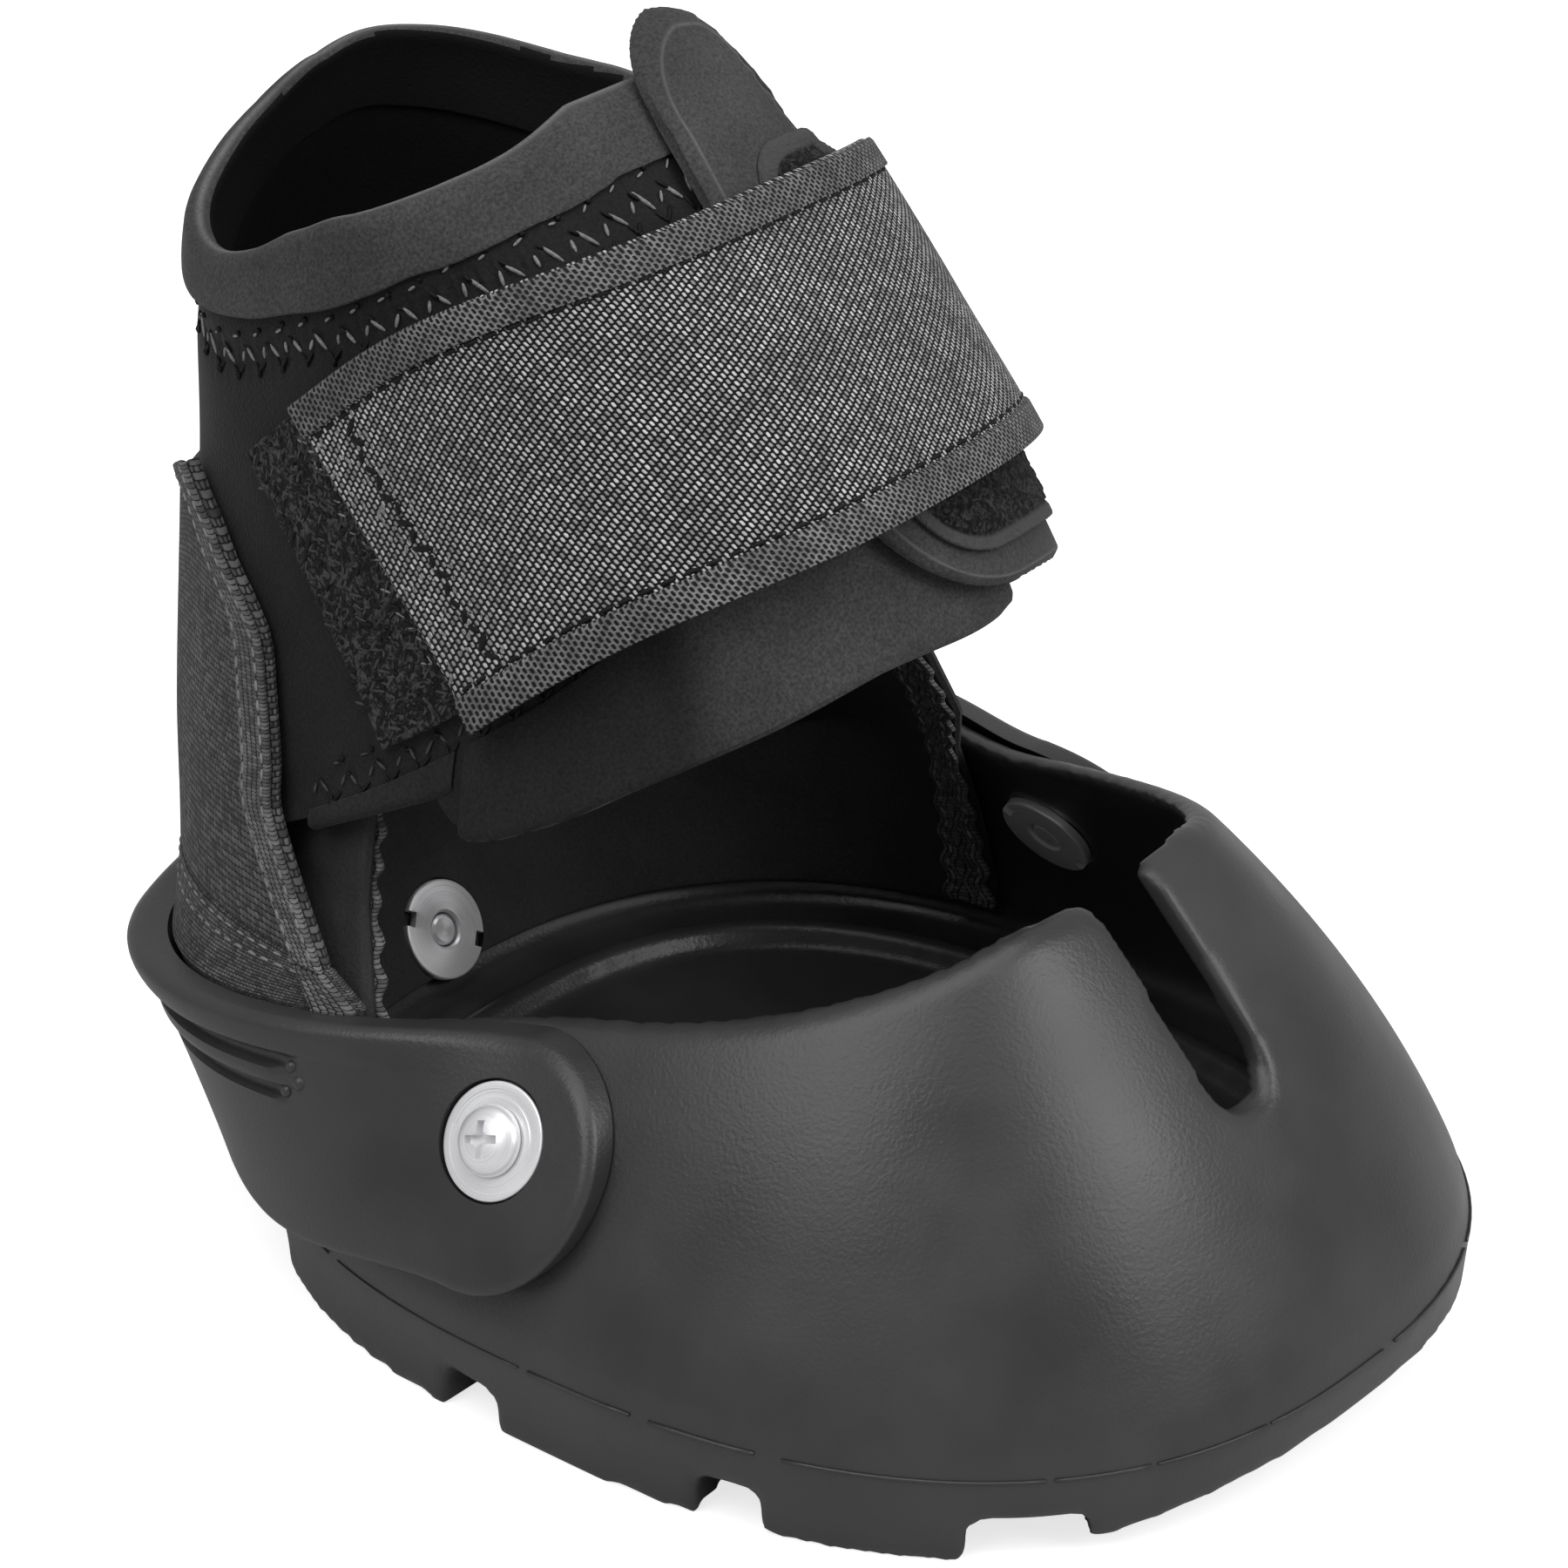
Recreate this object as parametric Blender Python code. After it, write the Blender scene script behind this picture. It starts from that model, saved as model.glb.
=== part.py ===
"""Horse hoof boot: a moulded rubber shell and a heel cradle, bolted to a pastern gaiter closed by a strap.

The toe points to -Y, the heel to +Y, and the tread stands on Z = 0. All lengths are metres.
Angles round the boot are degrees: 0 at the toe, 90 on the +X side, 180 at the heel.
"""
import bpy
import bmesh
import math
from mathutils import Matrix, Vector

# Shell: a squared oval at the parting line between tread and wall
HALF_WIDTH = 0.0626
TOE_REACH = 0.0770
HEEL_REACH = 0.0700
SQUARENESS = 2.4
PARTING_HEIGHT = 0.0117
PARTING_LEDGE = 0.0007
SOLE_DRAFT = 0.0009
WALL = 0.0040
FLOOR_HEIGHT = 0.0095
FLOOR_FILLET = 0.0030
EDGE_ROUND = 0.0008

# Lean of the wall, inward run per unit of rise, and the radius that bows it inward
TOE_LEAN = 0.43
SIDE_LEAN = 0.325
HEEL_LEAN = -0.48
WALL_BOW_RADIUS = 0.0810
HEEL_FLARE_START = 94.0
HEEL_FLARE_FULL = 150.0

# Heights of the rim round the shell
RIM_TOE = 0.0610
RIM_SHOULDER = 0.0598
RIM_SIDE = 0.0471
RIM_QUARTER = 0.0398
RIM_HEEL = 0.0272

# Slot down the toe wall
SLOT_WIDTH = 0.0108
SLOT_FOOT = 0.0387

# Tread
BEVEL_START = 0.0600
BEVEL_RISE = 0.0058
TREAD_DEPTH = 0.0056
TREAD_BORDER = 0.0200
GROOVE_WIDTH = 0.0080
TOE_GROOVE_WIDTH = 0.0140
GROOVE_TAPER = 0.0012
GROOVE_ANGLES = (67.4, 95.2, 132.0)
TOE_GROOVE_ANGLE = 40.7

# Heel cradle
CRADLE_THICKNESS = 0.0040
CRADLE_EDGE = 0.0016
CRADLE_FOOT = 0.0130
CRADLE_TOP_SIDE = 0.0438
CRADLE_TOP_QUARTER = 0.0410
CRADLE_TOP_HEEL = 0.0365
LIP_BULGE = 0.0020
LIP_DEPTH = 0.0060
CHANNEL_DEPTH = 0.0011
CHANNEL_WIDTH = 0.0038
EAR_RADIUS = 0.0146
EAR_RISE = 0.0122

# Fasteners
SIDE_BOLT_ANGLE = 96.0
SIDE_BOLT_HEIGHT = 0.0332
HEEL_BOLT_HEIGHT = 0.0152
WASHER_RADIUS = 0.0070
WASHER_THICKNESS = 0.0010
WASHER_RECESS = 0.0014
SCREW_HEAD_RADIUS = 0.0042
SCREW_HEAD_HEIGHT = 0.0024
SCREW_RADIUS = 0.0020
DRIVE_WIDTH = 0.0010
DRIVE_SPAN = 0.0042
DRIVE_DEPTH = 0.0012
NUT_FLANGE_RADIUS = 0.0065
NUT_FLANGE = 0.0011
NUT_BARREL_RADIUS = 0.0033
NUT_BARREL_LENGTH = 0.0030
NUT_NOTCH = 0.0014
NUT_SEAT = 0.0006

# Gaiter: the outer face of the cuff, level by level
LEVEL_LOW = 0.0330
SEAM_HEIGHT = 0.0450
LEVEL_HEEL = 0.0600
LEVEL_MIDDLE = 0.0850
LEVEL_HIGH = 0.1120
LEVEL_TOP = 0.1500
GAITER_HALF_WIDTH_LOW = 0.0530
GAITER_HALF_WIDTH_SEAM = 0.0500
GAITER_HALF_WIDTH_HEEL = 0.0435
GAITER_HALF_WIDTH_MIDDLE = 0.0370
GAITER_HALF_WIDTH_HIGH = 0.0340
GAITER_HALF_WIDTH_TOP = 0.0325
GAITER_BACK_LOW = 0.0810
GAITER_BACK_SEAM = 0.0825
GAITER_BACK_HEEL = 0.0880
GAITER_BACK_MIDDLE = 0.0910
GAITER_BACK_HIGH = 0.0905
GAITER_BACK_TOP = 0.0760
GAITER_FRONT_LOW = -0.0220
GAITER_FRONT_HEEL = -0.0210
GAITER_FRONT_MIDDLE = -0.0155
GAITER_FRONT_HIGH = 0.0045
GAITER_FRONT_TOP = 0.0450
GAITER_SQUARENESS_LOW = 2.6
GAITER_SQUARENESS_TOP = 2.2

# Layers of the gaiter
CUFF_THICKNESS = 0.0035
PANEL_THICKNESS = 0.0016
LINING_THICKNESS = 0.0018
BINDING_THICKNESS = 0.0010
ANCHOR_THICKNESS = 0.0010
TAB_THICKNESS = 0.0034
LOOP_THICKNESS = 0.0012
HOOK_THICKNESS = 0.0012
STRAP_THICKNESS = 0.0016

# Cuff: its edges lie on planes that rise toward the toe
CUFF_FOOT_ANGLE = 27.0
CUFF_FOOT_LEVEL = 0.0717
CUFF_FOOT_CLEARANCE = 0.0045
CUFF_TOP_ANGLE = 28.0
CUFF_TOP_LEVEL = 0.1400
CUFF_BACK_RISE = 0.0135
CUFF_LEFT_RISE = 0.0040
CUFF_TOP_DROP = 0.0070
CUFF_TOP_DROP_SHARES = ((22.0, 0.0), (33.0, 1.0), (60.0, 1.0), (80.0, 0.79), (104.0, 0.52), (120.0, 0.49),
                        (136.0, 0.26), (152.0, -0.06), (170.0, -0.40), (182.0, -0.37), (192.0, -0.09),
                        (202.0, 0.31), (214.0, 0.63), (238.0, 0.76), (250.0, 0.71), (262.0, 0.40),
                        (274.0, 0.04), (286.0, 0.0))
CUFF_FOOT_DROP = 0.0067
CUFF_FOOT_DROP_SHARES = ((-84.0, 0.0), (-79.0, 0.81), (-67.0, 1.0), (-55.0, 0.82), (-39.0, 0.63), (-18.0, 0.42),
                         (22.0, 0.42), (33.0, -0.67), (60.0, -0.67), (84.0, 0.0))
CUFF_OPEN_START = 22.0
CUFF_OPEN_END = 33.0
TOP_BINDING = 0.0075
FOOT_BINDING = 0.0100
FOOT_BINDING_ANGLE = 104.0

# Back panel, heel panel and lining
PANEL_TOP = 0.0920
PANEL_HALF_ANGLE = 84.0
PANEL_EDGE_SHARES = ((0.0, 1.0), (0.28, 0.80), (0.56, 0.62), (0.79, 0.44), (0.93, 0.28), (1.0, 0.12))
PANEL_BINDING = 0.0040
HEEL_PANEL_HALF_ANGLE = 64.0
HEEL_PANEL_TUCK = 0.0055
LINING_FOOT = 0.0128
LINING_TOP = 0.0600
LINING_RIGHT_ANGLE = 62.0
LINING_LEFT_ANGLE = 74.0
LINING_TOP_RIGHT_ANGLE = 82.0
LINING_TOP_LEFT_ANGLE = 108.0
LINING_GAP = 0.0012

# Closing tab, loop patch and strap, on planes that lean at the strap's angle
STRAP_ANGLE = 42.0
TAB_FOOT_LEVEL = 0.0575
TAB_TOP_LEVEL = 0.1333
TAB_TOP_FALL = 0.0263
TAB_TOP_FALL_SHARES = ((12.0, 0.0), (20.0, 0.01), (26.0, 0.03), (29.0, 0.07), (31.0, 0.14), (33.0, 0.55),
                       (35.0, 0.62), (40.0, 0.70), (45.0, 0.79), (50.0, 0.87), (62.0, 1.0))
TAB_FREE_FOOT_ANGLE = -12.5
TAB_FREE_TOP_ANGLE = -2.0
TAB_SEWN_ANGLE = 62.0
TAB_FOOT_CORNER = 0.0200
TAB_TOP_CORNER = 0.0140
LOOP_INSET = 0.0055
LOOP_TOP_LEVEL = 0.1172
LOOP_TOP_INSET = 0.0020
LOOP_FOOT_CORNER = 0.0120
LOOP_TOP_CORNER = 0.0085
STRAP_FOOT_SEWN = 0.0722
STRAP_TOP_SEWN = 0.1150
STRAP_FOOT_FREE = 0.0745
STRAP_TOP_FREE = 0.1146
STRAP_SEWN_FOOT_ANGLE = -75.0
STRAP_SEWN_TOP_ANGLE = -99.0
STRAP_FREE_ANGLE = 44.0
STRAP_TAUT_ANGLE = -14.0
STRAP_BINDING = 0.0034
STRAP_BINDING_THICKNESS = 0.0006
HOOK_START_ANGLE = -4.0
HOOK_INSET = 0.0050
ANCHOR_REACH_ANGLE = 16.0
ANCHOR_TUCK_ANGLE = 12.0

# Fits, and how finely round shapes are drawn
FIT = 0.0003
CRADLE_FIT = 0.0004
PANEL_FIT = 0.0010
OVERRUN = 0.0100
ANGLE_STEP = 6.0
CUFF_COLUMNS = 60
TURNED_STEPS = 18
WALL_ROWS = 5


def squared_oval(angle, half_width, front, back, squareness):
    """Point at a polar angle of an oval whose corners fill out as squareness rises over 2."""
    s = math.sin(math.radians(angle))
    c = math.cos(math.radians(angle))
    reach = (abs(s)**squareness + abs(c)**squareness)**(-1/squareness)
    return half_width*reach*s, -(front if c > 0 else back)*reach*c


def smooth_table(stations, at):
    """Value at a place between stations, each a place and its value, along a smooth curve."""
    last = len(stations) - 1
    if at <= stations[0][0]:
        return stations[0][1]
    if at >= stations[last][0]:
        return stations[last][1]

    def slope(k):
        low = stations[max(k - 1, 0)]
        high = stations[min(k + 1, last)]
        return (high[1] - low[1])/(high[0] - low[0])

    k = max(i for i in range(last) if stations[i][0] <= at)
    span = stations[k + 1][0] - stations[k][0]
    u = (at - stations[k][0])/span
    return ((2*u**3 - 3*u**2 + 1)*stations[k][1] + (u**3 - 2*u**2 + u)*span*slope(k)
            + (3*u**2 - 2*u**3)*stations[k + 1][1] + (u**3 - u**2)*span*slope(k + 1))


def ease(start, end, at):
    """0 before start, 1 past end, and a smooth rise between them."""
    u = min(max((at - start)/(end - start), 0.0), 1.0)
    return u*u*(3 - 2*u)


def mix(a, b, share):
    return a + (b - a)*share


def moved_out(curve, angle, height, out):
    """Point of a level closed curve at an angle, moved out along the curve's own normal."""
    nudge = 0.05
    before = Vector(curve(angle - nudge))
    along = (Vector(curve(angle + nudge)) - before).normalized()
    x, y = curve(angle)
    return Vector((x + along.y*out, y - along.x*out, height))


def shell_outline(angle):
    return squared_oval(angle, HALF_WIDTH, TOE_REACH, HEEL_REACH, SQUARENESS)


def heel_share(angle):
    """0 at the toe and sides of the shell, 1 round its flared heel."""
    return ease(HEEL_FLARE_START, HEEL_FLARE_FULL, folded(angle))


def wall_point(angle, height, out=0.0):
    """Point of the shell wall's outer face, moved outward by out."""
    rise = height - PARTING_HEIGHT
    heel = heel_share(angle)
    ahead = max(math.cos(math.radians(angle)), 0.0)**1.5
    lean = mix(mix(SIDE_LEAN, TOE_LEAN, ahead), HEEL_LEAN, heel)
    inward = lean*rise + (1 - heel)*rise*abs(rise)/(2*WALL_BOW_RADIUS)
    return moved_out(shell_outline, angle, height, out - inward)


def folded(angle):
    """The same place on the +X half, for shapes that are alike on both sides."""
    turned = angle % 360
    return min(turned, 360 - turned)


def rim_height(angle):
    stations = ((0, RIM_TOE), (45, RIM_SHOULDER), (90, RIM_SIDE), (120, RIM_QUARTER), (150, RIM_HEEL), (180, RIM_HEEL))
    return smooth_table(stations, folded(angle))


def gaiter_point(angle, height, out=0.0):
    """Point of the cuff's outer face at a height, moved outward by out."""
    half_width = smooth_table(((LEVEL_LOW, GAITER_HALF_WIDTH_LOW), (SEAM_HEIGHT, GAITER_HALF_WIDTH_SEAM),
                               (LEVEL_HEEL, GAITER_HALF_WIDTH_HEEL), (LEVEL_MIDDLE, GAITER_HALF_WIDTH_MIDDLE),
                               (LEVEL_HIGH, GAITER_HALF_WIDTH_HIGH), (LEVEL_TOP, GAITER_HALF_WIDTH_TOP)), height)
    back = smooth_table(((LEVEL_LOW, GAITER_BACK_LOW), (SEAM_HEIGHT, GAITER_BACK_SEAM),
                         (LEVEL_HEEL, GAITER_BACK_HEEL), (LEVEL_MIDDLE, GAITER_BACK_MIDDLE),
                         (LEVEL_HIGH, GAITER_BACK_HIGH), (LEVEL_TOP, GAITER_BACK_TOP)), height)
    front = smooth_table(((LEVEL_LOW, GAITER_FRONT_LOW), (LEVEL_HEEL, GAITER_FRONT_HEEL),
                          (LEVEL_MIDDLE, GAITER_FRONT_MIDDLE), (LEVEL_HIGH, GAITER_FRONT_HIGH),
                          (LEVEL_TOP, GAITER_FRONT_TOP)), height)
    squareness = smooth_table(((SEAM_HEIGHT, GAITER_SQUARENESS_LOW), (LEVEL_HIGH, GAITER_SQUARENESS_TOP)), height)
    half_length = (back - front)/2

    def ring(at):
        x, y = squared_oval(at, half_width, half_length, half_length, squareness)
        return x, y + (back + front)/2

    return moved_out(ring, angle, height, out)


def height_on_plane(angle, lean, level):
    """Height at which the gaiter's face meets a plane that rises toward the toe by lean degrees."""
    s = math.sin(math.radians(lean))
    c = math.cos(math.radians(lean))
    low = 0.0
    high = 2*LEVEL_TOP
    for _ in range(24):
        middle = (low + high)/2
        point = gaiter_point(angle, middle)
        if point.y*s + point.z*c < level:
            low = middle
        else:
            high = middle
    return (low + high)/2


def cuff_foot(angle):
    """Lower edge of the cuff: the plane at its sides, lower in the right flap, and level round the heel."""
    drop = CUFF_FOOT_DROP*smooth_table(CUFF_FOOT_DROP_SHARES, (angle + 180) % 360 - 180)
    return max(height_on_plane(angle, CUFF_FOOT_ANGLE, CUFF_FOOT_LEVEL) - drop, SEAM_HEIGHT + CUFF_FOOT_CLEARANCE)


def cuff_top(angle):
    """Upper edge of the cuff: a leaning plane, raised at the back and dipped at the far front and the right."""
    behind = max(-math.cos(math.radians(angle)), 0.0)**1.5
    left = max(-math.sin(math.radians(2*angle)), 0.0) if angle % 360 < 180 else 0.0
    level = CUFF_TOP_LEVEL + CUFF_BACK_RISE*behind + CUFF_LEFT_RISE*left
    return height_on_plane(angle, CUFF_TOP_ANGLE, level) - CUFF_TOP_DROP*smooth_table(CUFF_TOP_DROP_SHARES, angle % 360)


def cradle_top(angle):
    """Top of the cradle: under the rim at the ear, then the lip's line round the heel."""
    at = folded(angle)
    stations = ((SIDE_BOLT_ANGLE, SIDE_BOLT_HEIGHT + EAR_RISE), (107, CRADLE_TOP_SIDE),
                (122, CRADLE_TOP_QUARTER), (150, CRADLE_TOP_HEEL), (180, CRADLE_TOP_HEEL))
    return smooth_table(stations, at)


def make_material(name, shade, roughness, metallic=0.0):
    material = bpy.data.materials.new(name)
    material.use_nodes = True
    shader = material.node_tree.nodes["Principled BSDF"]
    shader.inputs["Base Color"].default_value = (shade, shade, shade*1.02, 1.0)
    shader.inputs["Roughness"].default_value = roughness
    shader.inputs["Metallic"].default_value = metallic
    material.diffuse_color = (shade, shade, shade, 1.0)
    return material


def add_object(name, work, material, sharp=40.0):
    """Turn a bmesh into a named object with its faces pointing out."""
    bmesh.ops.recalc_face_normals(work, faces=work.faces)
    mesh = bpy.data.meshes.new(name)
    work.to_mesh(mesh)
    work.free()
    if material:
        mesh.materials.append(material)
    mesh.shade_smooth()
    mesh.set_sharp_from_angle(angle=math.radians(sharp))
    item = bpy.data.objects.new(name, mesh)
    bpy.context.scene.collection.objects.link(item)
    return item


def skin_rings(rings, joined=False):
    """Closed skin over a stack of closed rings: capped at both ends, or joined end to end."""
    work = bmesh.new()
    loops = [[work.verts.new(point) for point in ring] for ring in rings]
    pairs = list(zip(loops, loops[1:]))
    if joined:
        pairs.append((loops[-1], loops[0]))
    for low, high in pairs:
        for k in range(len(low)):
            n = (k + 1) % len(low)
            work.faces.new((low[k], low[n], high[n], high[k]))
    if not joined:
        work.faces.new(loops[0][::-1])
        work.faces.new(loops[-1])
    return work


def plate(columns, rows, inner, outer):
    """Closed curved plate between two faces, each a function of shares along it and across it."""
    sections = []
    for i in range(columns + 1):
        along = i/columns
        face = [outer(along, j/rows) for j in range(rows + 1)]
        back = [inner(along, j/rows) for j in range(rows, -1, -1)]
        sections.append(face + back)
    return skin_rings(sections)


def as_cutter(item):
    item.hide_render = True
    item.display_type = 'WIRE'
    return item


def cut(item, cutter):
    modifier = item.modifiers.new("cut by " + cutter.name, 'BOOLEAN')
    modifier.operation = 'DIFFERENCE'
    modifier.object = cutter


def prism(outline, start, end, axis):
    """Straight solid with a flat outline, pushed from start to end along X, Y or Z."""
    def place(u, v, w):
        return {'X': (w, u, v), 'Y': (u, w, v), 'Z': (u, v, w)}[axis]

    return skin_rings([[Vector(place(u, v, w)) for u, v in outline] for w in (start, end)])


def make_shell(rubber):
    angles = [k*ANGLE_STEP for k in range(round(360/ANGLE_STEP))]

    def level(height, out):
        return [moved_out(shell_outline, a, height, out) for a in angles]

    def wall(share, out, drop=0.0):
        return [wall_point(a, mix(PARTING_HEIGHT, rim_height(a), share) - drop, out) for a in angles]

    rings = [level(0.0, -SOLE_DRAFT), level(PARTING_HEIGHT - PARTING_LEDGE, 0.0),
             level(PARTING_HEIGHT, -PARTING_LEDGE/2)]
    rings += [wall(k/WALL_ROWS, 0.0, EDGE_ROUND*k/WALL_ROWS) for k in range(1, WALL_ROWS + 1)]
    rings += [wall(1.0, -EDGE_ROUND), wall(1.0, EDGE_ROUND - WALL)]
    rings += [wall(k/WALL_ROWS, -WALL, EDGE_ROUND*k/WALL_ROWS) for k in range(WALL_ROWS, 0, -1)]
    rings += [[wall_point(a, FLOOR_HEIGHT + FLOOR_FILLET, -WALL) for a in angles],
              level(FLOOR_HEIGHT, -WALL - FLOOR_FILLET)]
    shell = add_object("shell", skin_rings(rings), rubber)
    for cutter in (bevel_cutter(), tread_cutter(), slot_cutter(), *groove_cutters()):
        cut(shell, cutter)
    return shell


def bevel_cutter():
    """Wedge that lifts the toe of the tread."""
    far = TOE_REACH + OVERRUN
    slope = BEVEL_RISE/(TOE_REACH - BEVEL_START)
    outline = [(-BEVEL_START, 0.0), (-far, slope*(far - BEVEL_START)), (-far, -OVERRUN),
               (-BEVEL_START + OVERRUN/slope, -OVERRUN)]
    wide = HALF_WIDTH + OVERRUN
    return as_cutter(add_object("toe_bevel_cutter", prism(outline, -wide, wide, 'X'), None))


def tread_cutter():
    """Hollow in the middle of the tread, inside the ring of lugs."""
    ring = [moved_out(shell_outline, k*ANGLE_STEP, 0.0, -TREAD_BORDER) for k in range(round(360/ANGLE_STEP))]
    outline = [(point.x, point.y) for point in ring]
    return as_cutter(add_object("tread_cutter", prism(outline, -OVERRUN, TREAD_DEPTH, 'Z'), None))


def groove_cutters():
    """Grooves that part the lugs, straight in from the edge to the hollow of the tread."""
    cutters = []
    grooves = [(a, GROOVE_WIDTH) for a in GROOVE_ANGLES] + [(TOE_GROOVE_ANGLE, TOE_GROOVE_WIDTH)]
    for side in (1, -1):
        for angle, width in grooves:
            edge = moved_out(shell_outline, side*angle, 0.0, OVERRUN)
            inner = moved_out(shell_outline, side*angle, 0.0, -TREAD_BORDER - GROOVE_TAPER)
            half = width/2
            top = half - GROOVE_TAPER
            outline = [(-half, -OVERRUN), (half, -OVERRUN), (half, GROOVE_TAPER), (top, TREAD_DEPTH - GROOVE_TAPER),
                       (top/2, TREAD_DEPTH), (-top/2, TREAD_DEPTH), (-top, TREAD_DEPTH - GROOVE_TAPER),
                       (-half, GROOVE_TAPER)]
            item = add_object(f"groove_cutter_{len(cutters)}", prism(outline, 0.0, (edge - inner).length, 'Y'), None)
            item.location = inner
            item.rotation_euler.z = math.atan2(edge.y - inner.y, edge.x - inner.x) - math.pi/2
            cutters.append(as_cutter(item))
    return cutters


def slot_cutter():
    """Straight slot with a round foot, open at the rim."""
    half = SLOT_WIDTH/2
    outline = [(-half, RIM_TOE + OVERRUN)]
    for k in range(9):
        a = math.pi + math.pi*k/8
        outline.append((half*math.cos(a), SLOT_FOOT + half + half*math.sin(a)))
    outline.append((half, RIM_TOE + OVERRUN))
    return as_cutter(add_object("slot_cutter", prism(outline, -TOE_REACH - OVERRUN, 0.0, 'Y'), None))


def cradle_section(angle, low, high):
    """Outline of the cradle's section at an angle, as points of its inner and outer faces."""
    lip = ease(SIDE_BOLT_ANGLE + 8, SIDE_BOLT_ANGLE + 20, folded(angle))
    tall = high - low
    lip_foot = high - min(LIP_DEPTH, tall/5)
    channel_foot = lip_foot - min(CHANNEL_WIDTH, tall/6)
    shoulder = channel_foot - min(CHANNEL_DEPTH, tall/8)
    face = CRADLE_FIT + CRADLE_THICKNESS
    bulge = face + LIP_BULGE*lip
    channel = face - CHANNEL_DEPTH*lip
    soft = min(EDGE_ROUND, tall/10)
    inner = [(CRADLE_FIT, low + soft)] + [(CRADLE_FIT, mix(low, high, k/4)) for k in range(1, 4)]
    inner += [(CRADLE_FIT, high - soft), (CRADLE_FIT + soft, high)]
    outer = [(bulge - soft, high), (bulge, high - soft), (bulge, lip_foot + soft), (channel, lip_foot),
             (channel, channel_foot), (face, shoulder), (face, low + 2*soft), (CRADLE_FIT + CRADLE_EDGE, low)]
    return [wall_point(angle, height, out) for out, height in inner + outer]


def make_cradle(rubber):
    """Band round the heel whose two ears reach forward over the side bolts."""
    bolt_y = wall_point(SIDE_BOLT_ANGLE, SIDE_BOLT_HEIGHT).y
    half = []
    for turn in (12, 28, 46, 66):
        reach = EAR_RADIUS*math.cos(math.radians(turn))
        tall = math.sin(math.radians(turn))
        low = SIDE_BOLT_ANGLE - 60
        high = SIDE_BOLT_ANGLE
        for _ in range(20):
            middle = (low + high)/2
            if wall_point(middle, SIDE_BOLT_HEIGHT).y < bolt_y - reach:
                low = middle
            else:
                high = middle
        half.append((high, SIDE_BOLT_HEIGHT - EAR_RADIUS*tall, SIDE_BOLT_HEIGHT + EAR_RISE*tall))
    angle = math.ceil(SIDE_BOLT_ANGLE/ANGLE_STEP)*ANGLE_STEP
    while angle < 180:
        foot = mix(SIDE_BOLT_HEIGHT - EAR_RADIUS, CRADLE_FOOT, ease(SIDE_BOLT_ANGLE, SIDE_BOLT_ANGLE + 30, angle))
        half.append((angle, foot, cradle_top(angle)))
        angle += ANGLE_STEP
    sections = [cradle_section(a, low, high) for a, low, high in half]
    sections.append(cradle_section(180, CRADLE_FOOT, CRADLE_TOP_HEEL))
    sections += [cradle_section(360 - a, low, high) for a, low, high in reversed(half)]
    return add_object("heel_cradle", skin_rings(sections), rubber)


def turned(profile, radius_at=None):
    """Solid turned about Z from a closed profile of radius and height, clear of the axis."""
    rings = []
    for r, h in profile:
        ring = []
        for k in range(TURNED_STEPS):
            a = 2*math.pi*k/TURNED_STEPS
            reach = radius_at(r, k) if radius_at else r
            ring.append(Vector((reach*math.cos(a), reach*math.sin(a), h)))
        rings.append(ring)
    return rings


def bolt_frame(angle, height):
    """Frame on the shell wall's outer face with Z along the wall's normal."""
    here = wall_point(angle, height)
    up = (wall_point(angle, height + EDGE_ROUND) - here).normalized()
    along = (wall_point(angle + 1, height) - here).normalized()
    normal = along.cross(up).normalized()
    if normal.dot(wall_point(angle, height, EDGE_ROUND) - here) < 0:
        normal = -normal
    side = up.cross(normal).normalized()
    return Matrix((side, up, normal)).transposed().to_4x4(), here, abs(normal.xy.length)


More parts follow.
